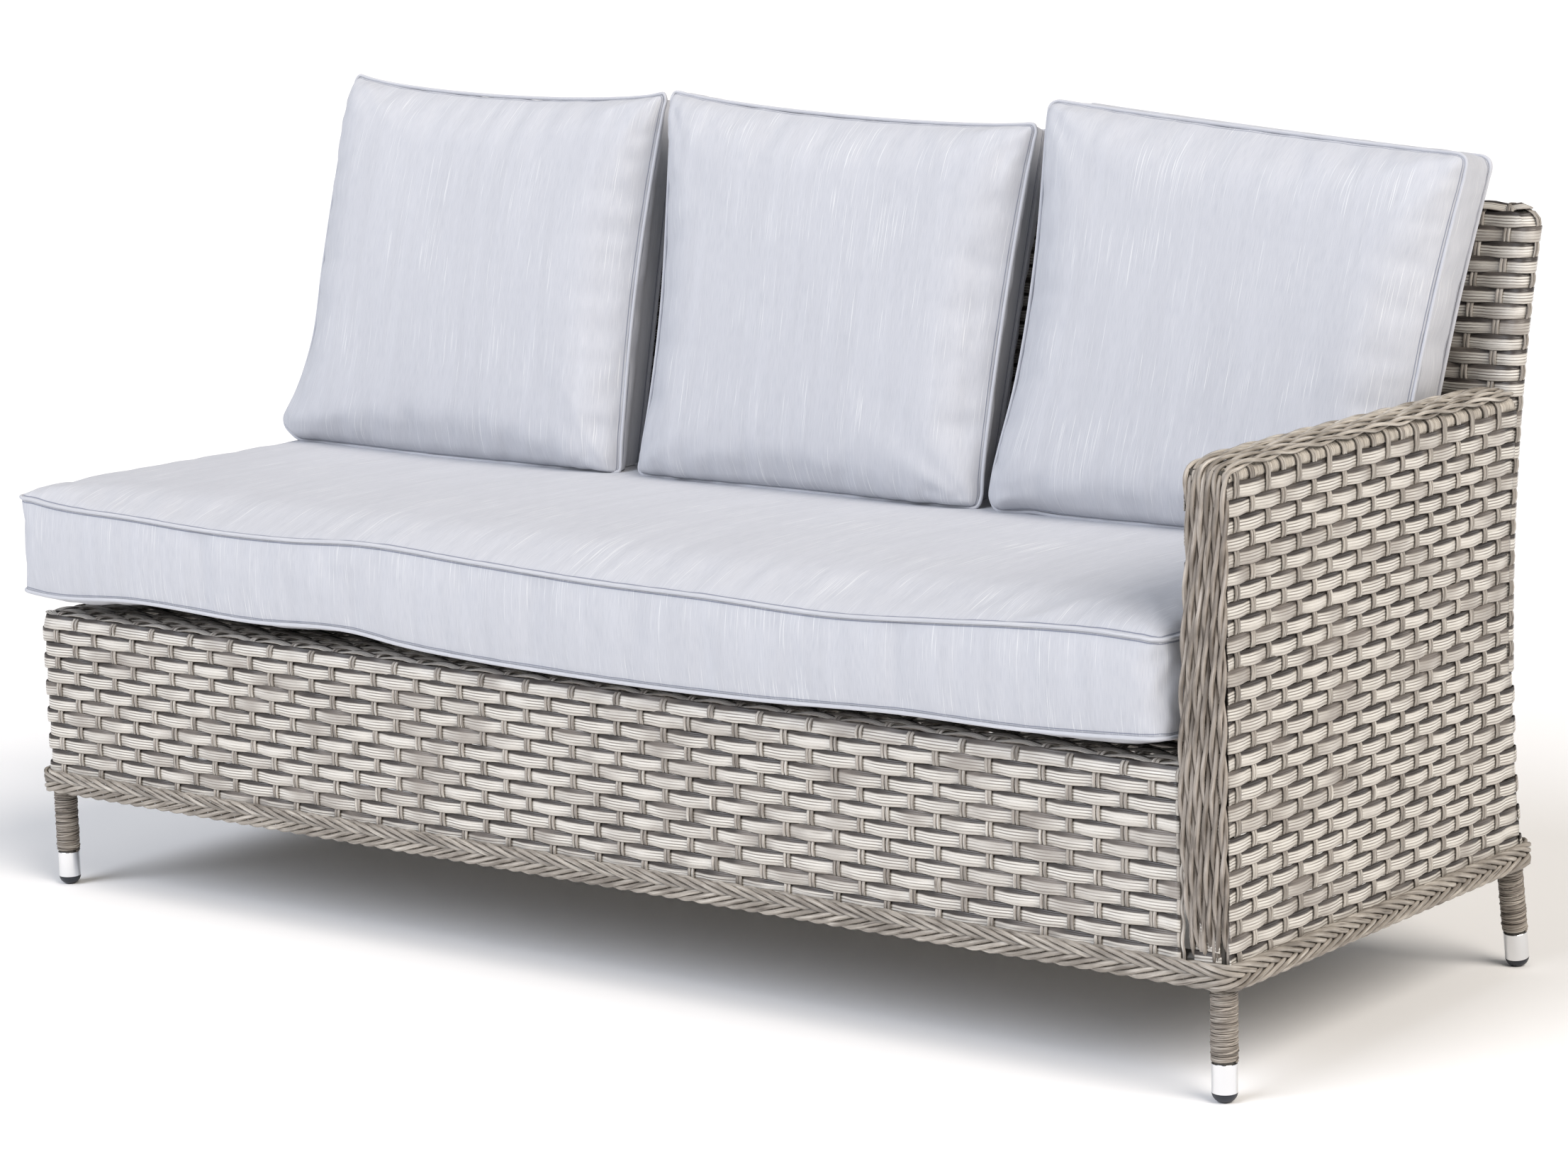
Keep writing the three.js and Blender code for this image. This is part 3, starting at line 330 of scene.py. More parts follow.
def add_ties(strands, surface, columns, reach, heights, parity, steps, seed, climb=0.0):
    """Pairs of thin ties that run up a panel, over one course and under the next."""
    chance = np.random.default_rng(seed)
    rows = np.arange(len(heights))
    for number, s in enumerate(columns):
        low, high = reach(s)
        count = max(4, int((high - low) / COURSE * steps))
        t = np.linspace(low, high, count)
        row = np.interp(t, heights, rows) + np.clip((t - heights[-1]) / COURSE, 0, None)
        row += np.clip((t - heights[0]) / COURSE, None, 0)
        ride = np.cos(math.pi * (row + number + parity))
        ride = ride * (1.3 - 0.3 * ride**2)
        if climb:
            ride = np.where(t > climb, np.maximum(ride, 0.75), ride)
        for side in (-1, 1):
            drift = 0.25 * np.sin(t / 23 + chance.uniform(0, 6)) + chance.normal(0, 0.15)
            place = s + side * TIE_SPREAD + drift
            centre, up, out = axes(surface, place, t, TIE_WAVE * ride)
            across = unit(np.cross(up, out)) * TIE_WIDTH
            strands.add(centre, across, out * TIE_THICK, TIE_SECTION, chance.random())


def weave(name, node, surface, courses, ties):
    """A woven panel as two pieces, from what its courses and its ties are made by."""
    strands, pairs = Strands(), Strands()
    add_courses(strands, surface, *courses)
    add_ties(pairs, surface, *ties)
    strands.build(f"{name}_weave", STRAND, "weave", [node])
    pairs.build(f"{name}_ties", TIE, "weave")


def front_surface(s, t, h):
    """S runs right from the left corner's tangent point, t up the face and back over the rail."""
    up, turn = t + FOOT, np.clip(-s / POST_INSET, 0, math.pi / 2)
    fold = np.clip((up - RAIL_HEIGHT) / RAIL_INSET, 0, math.pi / 2)
    back = np.clip(up - RAIL_HEIGHT - RAIL_INSET * math.pi / 2, 0, None)
    reach = RAIL_INSET - MID + h
    z = np.minimum(up, RAIL_HEIGHT) + reach * np.sin(fold)
    out = POST_INSET - RAIL_INSET + reach * np.cos(fold) - back
    x = POST_INSET + np.clip(s, 0, None) - out * np.sin(turn)
    return np.stack([x, POST_INSET - out * np.cos(turn), z], 1)


def left_surface(s, t, h):
    """S runs back from the corner's tangent point along the open end."""
    up = t + FOOT
    fold = np.clip((up - RAIL_HEIGHT) / RAIL_INSET, 0, math.pi / 2)
    reach = RAIL_INSET - MID + h
    z = np.minimum(up, RAIL_HEIGHT) + reach * np.sin(fold)
    return np.stack([RAIL_INSET - reach * np.cos(fold), POST_INSET + s, z], 1)


BACK_RADIUS = 1600.0
BACK_DEPTH = 612.0
FOREMOST = 420.0
KNEE = 147.0


def back_depth(z):
    """The rear posts' centre line: an arc above the knee, foremost at one height, straight below it."""
    rise = np.maximum(z, KNEE) - FOREMOST
    arc = BACK_DEPTH + BACK_RADIUS - np.sqrt(BACK_RADIUS**2 - rise**2)
    return arc + np.minimum(z - KNEE, 0) * back_slope(z)


def back_slope(z):
    rise = np.maximum(z, KNEE) - FOREMOST
    return rise / np.sqrt(BACK_RADIUS**2 - rise**2)


FRONT_TIE = 34.85
SIDE_TIE = 31.0
CORNER = POST_INSET * math.pi / 2
heights = COURSE * (np.arange(60) + 0.5)
front_columns = np.array([68.0 - POST_INSET + FRONT_TIE * i for i in range(-1, 49)])
corner_number = (-CORNER - front_columns[0]) / FRONT_TIE
left_columns = np.array([SIDE_TIE * (i + corner_number) for i in range(1, 20)])
left_columns = left_columns[left_columns > 4]
base_span = lambda row: (-CORNER if row < 13 else -2, front_end)
left_span = lambda row: (0, back_depth(min(FOOT + heights[row], DECK)) - POST_INSET)

front_end = ARM_FACE - POST_INSET - 1
courses = (range(BASE_ROWS + 3), heights, base_span, front_columns, 0, 6, 11)
ties = (front_columns, lambda s: (-8, 262), heights[:15], 0, 5, 12)
weave("front", "front_panel", front_surface, courses, ties)

courses = (range(BASE_ROWS + 1), heights, left_span, left_columns, 1, 5, 13)
ties = (left_columns, lambda s: (-8, 218), heights[:13], 1, 4, 14)
weave("left_end", "left_end_panel", left_surface, courses, ties)

# Seat deck under the cushion: the same courses go on over the bars, from the front rail to the back.
# It shows at the rail and from below.

deck_rows = range(BASE_ROWS + 3, BASE_ROWS + 34)
deck_span = lambda row: (-2, front_end)
courses = (deck_rows, heights, deck_span, front_columns, 0, 2, 15, LEAN_SECTION)
ties = (front_columns[::2], lambda s: (258, 822), heights, 0, 2, 16)
weave("deck", "seat_deck", front_surface, courses, ties)

# Rear of the base and the backrest: courses wrap the rear posts and, above the deck, go right round
# the backrest as loops that follow its rounded top corners, with ties up the front and down the rear.

BODY = 1800.0
BEND = 14.0
TOP = 890.0 - POST_INSET
SIDE_MARGIN = 33.0 - POST_INSET
END_ARC = (POST_INSET - MID) * math.pi
STRAIGHT = BODY - 2 * POST_INSET
profile_z = np.linspace(FOOT - 20, TOP, 400)
profile_rise = np.where(profile_z > DECK, np.hypot(1, back_slope(profile_z)), 1.0)
profile_t = np.r_[0, np.cumsum(np.diff(profile_z) * profile_rise[1:])]
profile_t -= np.interp(FOOT, profile_z, profile_t)


def sock_surface(s, t, h):
    """S runs right along the front, round the right end, back along the rear and round the left end."""
    radius = POST_INSET - MID + h
    over = np.clip((t - profile_t[-1]) / POST_INSET, 0, math.radians(86))
    level = np.interp(t, profile_t, profile_z)
    z = level + radius * np.sin(over)
    above = np.clip(z - (TOP - BEND), 0, BEND + radius - 0.5)
    drawn = BEND + radius - np.sqrt((BEND + radius) ** 2 - above**2)
    low, high = POST_INSET + drawn, BODY - POST_INSET - drawn
    round_1 = np.clip((s - STRAIGHT) / END_ARC, 0, 1)
    round_2 = np.clip((s - 2 * STRAIGHT - END_ARC) / END_ARC, 0, 1)
    angle = -math.pi / 2 + math.pi * (round_1 + round_2)
    there = np.clip(s, None, STRAIGHT) - np.clip(s - STRAIGHT - END_ARC, 0, STRAIGHT)
    x = np.clip(POST_INSET + there, low, high) + radius * np.cos(angle)
    face = radius * np.cos(over) * np.hypot(1, back_slope(level))
    return np.stack([x, back_depth(level) + face * np.sin(angle), z], 1)


LOOP = 2 * (STRAIGHT + END_ARC)
back_front = SIDE_MARGIN + np.arange(50) * (STRAIGHT - 2 * SIDE_MARGIN) / 49
back_columns = np.r_[
    back_front, STRAIGHT + END_ARC / 2, 2 * STRAIGHT + END_ARC - back_front[::-1], LOOP - END_ARC / 2
]
deck_t = DECK - FOOT
back_rows = round((profile_t[-1] + CORNER - deck_t) / COURSE)
back_pitch = (profile_t[-1] + CORNER - deck_t) / back_rows
back_heights = np.r_[heights[:BASE_ROWS], deck_t + back_pitch * (np.arange(back_rows) + 0.5)]

rear_half = lambda row: (STRAIGHT + END_ARC / 2, 2 * STRAIGHT + END_ARC * 1.5)
courses = (range(BASE_ROWS), back_heights, rear_half, back_columns, 1, 4, 17)
rear_columns = back_columns[51:101]
ties = (rear_columns, lambda s: (-8, deck_t + 3), back_heights[:13], 0, 4, 18)
weave("rear_base", "rear_panel", sock_surface, courses, ties)

strands = Strands()
chance = np.random.default_rng(19)
for row in range(BASE_ROWS, BASE_ROWS + back_rows):
    s, ride = stations(0.0, LOOP - 1.0, back_columns, 4, row + 1)
    crest = ride * (1.45 - 0.45 * ride**2)
    centre, up, out = axes(sock_surface, s, back_heights[row] + chance.normal(0, 0.2), STRAND_WAVE * crest)
    width = STRAND_WIDTH + 1.3 * ride**2
    if row == BASE_ROWS + back_rows - 1:
        width *= 0.9
    strands.add(centre, up * width[:, None], out * STRAND_THICK, LEAN_SECTION, chance.random(), True, True)
strands.build("backrest_courses", STRAND, "weave", ["backrest_weave"])

back_reach = lambda s: (deck_t + 1, profile_t[-1] + POST_INSET * math.radians(85))
for face, first, last in (("front", 0, 51), ("rear", 51, 102)):
    ties = Strands()
    columns = back_columns[first:last]
    add_ties(ties, sock_surface, columns, back_reach, back_heights, 1 + first, 3, 20 + first)
    ties.build(f"backrest_{face}_ties", TIE, "weave")

# Arm: the outer panel is woven like the base and its ties climb over the wound edge tube; the inner
# panel stands on the deck.

ARM = 674.0
ARM_ROWS = 29
INNER_ROWS = 17
EDGE_TUBE_X = BODY - RAIL_INSET
EDGE_TUBE_Z = ARM - 9.5


def arm_surface(s, t, h):
    up = t + FOOT
    fold = np.clip((up - EDGE_TUBE_Z) / RAIL_INSET, 0, math.pi / 2)
    reach = RAIL_INSET - MID + h
    x = EDGE_TUBE_X + reach * np.cos(fold)
    return np.stack([x, s, np.minimum(up, EDGE_TUBE_Z) + reach * np.sin(fold)], 1)


def inner_surface(s, t, h):
    return np.stack([ARM_FACE + MID - h, s, t + DECK], 1)


def arm_end(t):
    """The outer panel runs back to the rear post, and above the deck to the backrest's round end."""
    z = min(FOOT + t, EDGE_TUBE_Z)
    return back_depth(z) - (0 if z < DECK + 4 else 9)


arm_columns = 22.0 + SIDE_TIE * np.arange(19)
arm_span = lambda row: (4, arm_end(heights[row]))
arm_heights = heights[:ARM_ROWS]
courses = (range(ARM_ROWS), heights, arm_span, arm_columns, 0, 6, 21)
ties = (arm_columns, lambda s: (-8, 537), arm_heights, 0, 5, 22, arm_heights[-1] + 7)
weave("arm_outer", "arm_outer_panel", arm_surface, courses, ties)

inner_span = lambda row: (12, back_depth(DECK + heights[row]) - POST_INSET - 1)
inner_rows = range(INNER_ROWS)
courses = (inner_rows, heights, inner_span, arm_columns, 0, 3, 23, LEAN_SECTION)
ties = (arm_columns, lambda s: (1, 303), heights[:INNER_ROWS], 0, 3, 24)
weave("arm_inner", "arm_inner_panel", inner_surface, courses, ties)

# Winding of the arm's edge: one thin cane wound close round the outer top rail, where it shows between
# the outer panel and the plait. It runs from the front post back to the backrest.

EDGE_WINDING_RADIUS = 10.3
EDGE_PITCH = 2.5
EDGE_START = 14.0
# The palest cane, with few dark stretches: painted light that keeps the winding bright along the arm in the
# plait's shadow.
EDGE_CANE = cane_material("edge winding cane", "#e4dfd6", "#c9c2b7", "#8d857b", 0.4)
SIDEWAYS, BACKWARDS = np.array([1.0, 0, 0]), np.array([0, 1.0, 0])
ROUND = [(math.cos(a) / 2, math.sin(a) / 2) for a in np.arange(6) * 2 * math.pi / 6]


def helix(strands, centre, axis, side, radius, pitch, turns, diameter, steps, seed, ragged=0.0):
    """Cane wound round an axis, from a point on it, with the side vector as the start."""
    chance = np.random.default_rng(seed)
    angle = np.linspace(0, 2 * math.pi * turns, int(turns * steps) + 1)
    across = np.cross(axis, side)
    out = np.cos(angle)[:, None] * side + np.sin(angle)[:, None] * across
    wobble = [np.sin(angle * rate + chance.uniform(0, 6)) for rate in (0.37, 0.83)]
    along = pitch * angle / (2 * math.pi) + ragged * (wobble[0] + wobble[1])
    swell = radius + 0.25 * ragged * np.sin(angle * 0.61 + chance.uniform(0, 6))
    points = centre + axis * along[:, None] + out * swell[:, None]
    ahead = unit(np.gradient(points, axis=0))
    strands.add(points, np.cross(out, ahead) * diameter, out * diameter * 0.8, ROUND, chance.random())


strands = Strands()
edge_start = np.array([EDGE_TUBE_X - 0.6, EDGE_START, EDGE_TUBE_Z + 0.4])
turns = (arm_end(EDGE_TUBE_Z - FOOT) - EDGE_START) / EDGE_PITCH
helix(strands, edge_start, BACKWARDS, SIDEWAYS, EDGE_WINDING_RADIUS, EDGE_PITCH, turns, 2.4, 12, 31, 0.12)
strands.build("arm_edge_winding", EDGE_CANE, "cane")

# Plaited bottom edge: nine canes of synthetic rattan in one flat plait that goes all round the foot of
# the base and covers the ends of the strands and ties.

PLAIT_MIDDLE = 140.5
PLAIT_CANES = 9
PLAIT_PITCH = 216.0
PLAIT_SWING = 11.2
PLAIT_LIFT = 2.9
PLAIT_CANE = 5.8
PLAIT_FLATNESS = 0.76
PLAIT_DEPTH = 5.0
# Middle tones, so that the plait reads darker than the weave above it.
CANE = cane_material("plaited cane", "#cfc9bf", "#aba49a", "#6a625b", 0.5)


def base_path(step):
    """The plait's way round the base at its own depth, with its outward vectors."""
    radius = POST_INSET + PLAIT_DEPTH
    left, right, fore, rear = POST_INSET, BODY - POST_INSET, POST_INSET, back_depth(PLAIT_MIDDLE)
    points, outs = [], []
    for number, (x, y) in enumerate([(left, fore), (right, fore), (right, rear), (left, rear)]):
        first = -math.pi / 2 + (number - 1) * math.pi / 2
        for angle in np.linspace(first, first + math.pi / 2, 9):
            points.append((x + radius * math.cos(angle), y + radius * math.sin(angle)))
            outs.append((math.cos(angle), math.sin(angle)))
    points.append(points[0])
    outs.append(outs[0])
    points, outs = np.array(points), np.array(outs)
    length = np.r_[0, np.cumsum(np.linalg.norm(np.diff(points, axis=0), axis=1))]
    count = int(length[-1] / step)
    s = np.linspace(0, length[-1], count, endpoint=False)
    place = np.stack([np.interp(s, length, points[:, i]) for i in (0, 1)], 1)
    out = unit(np.stack([np.interp(s, length, outs[:, i]) for i in (0, 1)], 1))
    return s, length[-1], place, out


strands = Strands()
s, whole, place, out = base_path(6.0)
waves = round(whole / PLAIT_PITCH)
chance = np.random.default_rng(41)
flat_out = np.c_[out, np.zeros(len(out))]
for cane in range(PLAIT_CANES):
    phase = 2 * math.pi * (waves * s / whole + cane / PLAIT_CANES)
    z = PLAIT_MIDDLE + PLAIT_SWING * (np.sin(phase) - 0.1 * np.sin(3 * phase))
    lift = -PLAIT_LIFT * np.tanh(2.6 * np.sin(2 * phase))
    centre = np.c_[place, z] + flat_out * lift[:, None]
    run = unit(np.roll(centre, -1, axis=0) - np.roll(centre, 1, axis=0))
    across = unit(np.cross(flat_out, run)) * PLAIT_CANE
    strands.add(centre, across, flat_out * PLAIT_CANE * PLAIT_FLATNESS, ROUND, chance.random(), True)
strands.build("bottom_plait", CANE, "cane", ["front_braid", "right_braid", "rear_braid", "left_braid"])

# Arm plait: six ropes of two canes twisted together climb the front post, turn over the arm's
# front top edge and run back along the arm to the backrest. Flat strand wraps the post behind them.


def post_surface(s, t, h):
    return np.stack([s, 3.4 - h, t + FOOT], 1)


strands = Strands()
post_columns = np.array([ARM_FACE - 20, ARM_FACE + 15, BODY - 8, BODY + 27])
post_span = lambda row: (ARM_FACE + 15, BODY - 12)
add_courses(strands, post_surface, range(ARM_ROWS), heights, post_span, post_columns, 0, 3, 25, LEAN_SECTION)
strands.build("post_wrap", STRAND, "weave")

ROPES = 6
ROPE_CANE = 5.9
ROPE_FLATNESS = 0.74
ROPE_PITCH = 112.0
arm_back = back_depth(ARM + 6) - POST_INSET
TURN_RADIUS = 13.0
climb_z = [150, 165, 200, 270, 350, 440, 530, 600, 640]
climb_y = [11, 6, 1.5, -2.5, -4.5, -5.5, -3.5, 0.0, 1.5]
turn = [
    (1.5 + TURN_RADIUS * (1 - math.cos(a)), 663 + TURN_RADIUS * math.sin(a))
    for a in np.linspace(0, math.pi / 2, 7)
]
back_y = [40, 120, 250, 400, 520, arm_back]
back_z = [679.5, 681, 682, 682, 682, 681]
route = np.array([*zip(climb_y, climb_z), *turn, *zip(back_y, back_z)])
left_edge = np.interp(
    route[:, 1], [150, 163, 208, 269, 348, 466, 612, 679], [1754, 1752, 1747, 1744, 1743, 1747, 1752, 1748]
)
right_edge = np.interp(route[:, 1], [150, 300, 600, 660, 679], [1797, 1801, 1801, 1801, 1800])
strands = Strands()
chance = np.random.default_rng(43)
bend = np.r_[0, np.cumsum(np.linalg.norm(np.diff(route, axis=0), axis=1))]
s = np.arange(0, bend[-1], 6.0)
way = np.stack([np.interp(s, bend, route[:, i]) for i in (0, 1)], 1)
for _ in range(3):
    way[1:-1] = (way[:-2] + 2 * way[1:-1] + way[2:]) / 4
ahead = unit(np.gradient(way, axis=0))
outward = np.c_[np.zeros(len(s)), -ahead[:, 1], ahead[:, 0]]
edges = [np.interp(s, bend, left_edge), np.interp(s, bend, right_edge)]
for rope in range(ROPES):
    share = (rope + 0.5) / ROPES
    wide = (edges[1] - edges[0]) / ROPES
    x = edges[0] + (edges[1] - edges[0]) * share
    crown = 3.2 - 16 * (share - 0.42) ** 2
    start = rope * math.pi / 2 + chance.uniform(-0.2, 0.2)
    for ply in range(2):
        angle = -2 * math.pi * s / ROPE_PITCH + ply * math.pi + start
        spread = 0.29 * wide
        wobble = 0.3 * np.sin(s / 31 + chance.uniform(0, 6))
        centre = np.c_[x + spread * np.cos(angle) + wobble, way]
        centre += outward * (crown + 2.8 * np.sin(angle) - 1.0)[:, None]
        run = unit(np.gradient(centre, axis=0))
        across = unit(np.cross(outward, run)) * ROPE_CANE
        strands.add(centre, across, outward * ROPE_CANE * ROPE_FLATNESS, ROUND, 0.09 * chance.random())
# Like the bottom plait's cane but paler, and greyer up the post than along the top: painted shade on the
# post.
ARM_CANE = cane_material("arm plait cane", "#dcd6cc", "#bdb6ab", "#70685f", 0.6, "#dad6d5")
strands.build("arm_plait", ARM_CANE, "cane", ["arm_post_plait", "arm_top_plait"])

# Legs: thin cane wound close over each tube, with a few slanting turns over it, a bright sleeve
# pushed up from below and a black domed cap in its end.

CAP_PROFILE = [(0.0, 0.0), (4.5, 0.0), (8.5, 1.6), (11.4, 4.2), (13.3, 7.6), (14.0, 10.4)]
CAP_PROFILE += [(10.3, 10.4), (10.3, 25.4), (0.0, 25.4)]
SLEEVE_PROFILE = [(12.8, 10.7), (13.7, 10.7), (14.0, 11.1), (14.0, 42.8), (13.6, 43.3)]
SLEEVE_PROFILE += [(12.8, 43.3), (12.8, 10.7)]
WINDING_FOOT = 45.2
# Each cane's rise above that foot, side that it starts on, radius, pitch, turns, width and raggedness.
WINDINGS = [
    (0, 1, 14.0, 2.25, 37.3, 2.3, 0.3),
    (3, 1, 14.6, 9.0, 8.2, 2.2, 0.9),
    (7, -1, 14.6, 12.0, 5.9, 2.2, 1.2),
]
# Cane in deeper shadow between its turns, a mirror-bright sleeve, and moulded plastic that is near black.
WOUND = cane_material("wound cane", "#d6d0c6", "#a89f94", "#544c46", 0.75)
SLEEVE = material("bright aluminium", "#e9eaec", 0.2, 1.0)
CAP = material("black cap", "#1d222b", 0.42)
LEG_TILT = -math.atan(back_slope(0.0))


def select_only(*pieces):
    """Selects these pieces and nothing else, with the first one active."""
    bpy.ops.object.select_all(action="DESELECT")
    for each in pieces:
        each.select_set(True)
    bpy.context.view_layer.objects.active = pieces[0]


def lathe(name, profile, place, finish, nodes):
    """A turned piece: its half outline spun about the leg's axis."""
    work = bmesh.new()
    points = [work.verts.new((r / 1000, 0, z / 1000)) for r, z in profile]
    edges = [work.edges.new(pair) for pair in zip(points, points[1:])]
    turn = {"cent": (0, 0, 0), "axis": (0, 0, 1), "angle": 2 * math.pi, "steps": 48}
    bmesh.ops.spin(work, geom=points + edges, use_duplicate=False, **turn)
    bmesh.ops.remove_doubles(work, verts=work.verts, dist=1e-6)
    bmesh.ops.recalc_face_normals(work, faces=work.faces)
    work.transform(place)
    for vert in work.verts:
        vert.co.z = max(vert.co.z, 0.0)
    mesh = bpy.data.meshes.new(name)
    work.to_mesh(mesh)
    work.free()
    mesh.materials.append(finish)
    mesh.shade_smooth()
    piece = settle(bpy.data.objects.new(name, mesh), nodes)
    select_only(piece)
    bpy.ops.object.shade_smooth_by_angle(angle=math.radians(35))


legs = {
    "front_left": (POST_INSET, POST_INSET, 0.0),
    "front_right": (BODY - POST_INSET, POST_INSET, 0.0),
    "rear_left": (POST_INSET, float(back_depth(0.0)), LEG_TILT),
    "rear_right": (BODY - POST_INSET, float(back_depth(0.0)), LEG_TILT),
}
for number, (corner, (x, y, tilt)) in enumerate(legs.items()):
    place = Matrix.Translation((LEFT + x / 1000, FRONT + y / 1000, 0)) @ Matrix.Rotation(tilt, 4, "X")
    lathe(f"{corner}_cap", CAP_PROFILE, place, CAP, [f"{corner}_foot_cap"])
    lathe(f"{corner}_bright_sleeve", SLEEVE_PROFILE, place, SLEEVE, [f"{corner}_sleeve"])
    axis = np.array([0, -math.sin(tilt), math.cos(tilt)])
    strands = Strands()
    for layer, (rise, way, radius, pitch, turns, width, ragged) in enumerate(WINDINGS):
        start, seed = np.array([x, y, 0.0]) + axis * WINDING_FOOT + axis * rise, 50 + 10 * layer + number
        helix(strands, start, axis, SIDEWAYS * way, radius, pitch, turns, width, 14, seed, ragged)
    strands.build(f"{corner}_wound_cane", WOUND, "cane", [f"{corner}_winding"])

# Seat cushion: one long foam cushion in a piped cover. Its seams are fixed along the photographed
# lines and the cover between them is blown out as cloth, so it crowns and wrinkles by itself.

PIPE_RADIUS = 2.5
PIPE_SIDES = 10
CORNER_RADIUS = 15.0
CORNERS = [(0, 0), (0, -1), (-1, 0), (-1, -1)]
STITCH_AND_GROOVE_SHADE_LINE = 0.0042


def fabric_material():
    """Woven polyester, matt with a faint sheen: pale blue grey ground with long, lighter slubs.

    The real twill is too fine to show, so its ribs are drawn coarser, one in 1.5 mm along either
    thread. A darker line beside each seam is partly stitching and partly painted shade of the groove at the
    welt.
    """
    made = material("cushion fabric", "#ffffff", 0.92)
    tree = made.node_tree
    cloth = add(tree, "UVMap", uv_map="cloth")
    kinds = ((60, 4, 1), 3), ((820, 9, 1), 1), ((9, 5, 1), 1), ((1500, 50, 1), 1)
    tint, slub, patch, fine = noises(tree, cloth, kinds)
    uneven = add(tree, "Math", [patch, 0.25, slub], operation="MULTIPLY_ADD")
    threads = add(tree, "ValToRGB", [uneven], stops=[(0.78, "#000000"), (0.84, "#ffffff")])
    threads = add(tree, "Math", [threads, 0.75], operation="MULTIPLY")
    faint = add(tree, "ValToRGB", [fine], stops=[(0.36, "#f3f4f6"), (0.56, "#ffffff")])
    # Partly stitching, partly painted shade: a dark line some 4 mm from each seam, in the groove beside the
    # welt.
    seam = add(tree, "Attribute", out="Fac", attribute_name="seam")
    beside = add(tree, "Math", [seam, STITCH_AND_GROOVE_SHADE_LINE], operation="SUBTRACT")
    beside = add(tree, "Math", [beside], operation="ABSOLUTE")
    beside = add(tree, "Math", [beside, 500.0], operation="MULTIPLY")
    stitch_and_groove_shade = add(tree, "ValToRGB", [beside], stops=[(0.0, "#9a9fb0"), (0.6, "#ffffff")])
    colour = add(tree, "ValToRGB", [tint], stops=[(0.3, "#babcc2"), (0.7, "#c0c2c8")])
    layers = ((threads, linear("#dcddde"), "MIX"), (0.9, faint, "MULTIPLY"), (1.0, stitch_and_groove_shade, "MULTIPLY"))
    tree.nodes["Principled BSDF"].inputs["Sheen Weight"].default_value = 0.15
    diagonal = add(tree, "Math", [add(tree, "SeparateXYZ", [cloth], axis) for axis in "XY"], operation="ADD")
    diagonal = add(tree, "Math", [diagonal, 4200.0], operation="MULTIPLY")
    return dress(made, colour, layers, 0.0003, 0.1, add(tree, "Math", [diagonal], operation="SINE"))


FABRIC = fabric_material()


def curve(knots):
    """A smooth line through knots of (share, value)."""
    shares, values = zip(*knots)

    def read(at):
        at = np.asarray(at, float)
        i = np.clip(np.searchsorted(shares, at) - 1, 0, len(shares) - 2)
        x0, x1 = np.take(shares, i), np.take(shares, i + 1)
        slopes = np.gradient(values, shares)
        f, d = np.clip((at - x0) / (x1 - x0), 0, 1), x1 - x0
        a, b = np.take(values, i), np.take(values, i + 1)
        m0, m1 = np.take(slopes, i) * d, np.take(slopes, i + 1) * d
        return a + f * m0 + f**2 * (3 * (b - a) - 2 * m0 - m1) + f**3 * (2 * (a - b) + m0 + m1)

    return read


def close_ends(count):
    """Shares from 0 to 1 that lie closer together near both ends."""
    t = np.linspace(0, 1, count + 1)
    return 0.5 * t + 0.25 * (1 - np.cos(math.pi * t))


def panel(edge, us, vs):
    """Points over a panel between four seams: edge(side, shares) gives points along a seam."""
    u, v = np.meshgrid(us, vs, indexing="ij")
    u, v = u[..., None], v[..., None]
    south, north, west, east = edge("south", us), edge("north", us), edge("west", vs), edge("east", vs)
    ruled = (1 - v) * south[:, None] + v * north[:, None] + (1 - u) * west[None] + u * east[None]
    ends = (1 - u) * (1 - v) * south[0] + u * (1 - v) * south[-1] + (1 - u) * v * north[0] + u * v * north[-1]
    return rounded(ruled - ends, CORNER_RADIUS)


def seam_distance(grid):
    """How far each point of a panel is from its side seams and from its end seams."""
    i = np.cumsum(np.linalg.norm(np.diff(grid, axis=0, prepend=grid[:1]), axis=2), axis=0)
    j = np.cumsum(np.linalg.norm(np.diff(grid, axis=1, prepend=grid[:, :1]), axis=2), axis=1)
    return np.minimum(i, i[-1:] - i), np.minimum(j, j[:, -1:] - j), i, j


def rounded(grid, radius):
    """Turns the four square corners of a panel round."""
    _, _, i, j = seam_distance(grid)
    moved = grid.copy()
    for a, b in CORNERS:
        inward = unit(np.stack([grid[-1 - a, b] - grid[a, b], grid[a, -1 - b] - grid[a, b]]))
        p = np.clip(1 - (i if a == 0 else i[-1:] - i) / radius, 0, 1)
        q = np.clip(1 - (j if b == 0 else j[:, -1:] - j) / radius, 0, 1)
        moved += (p - p * np.sqrt(1 - q * q / 2))[..., None] * radius * inward[0]
        moved += (q - q * np.sqrt(1 - p * p / 2))[..., None] * radius * inward[1]
    return moved


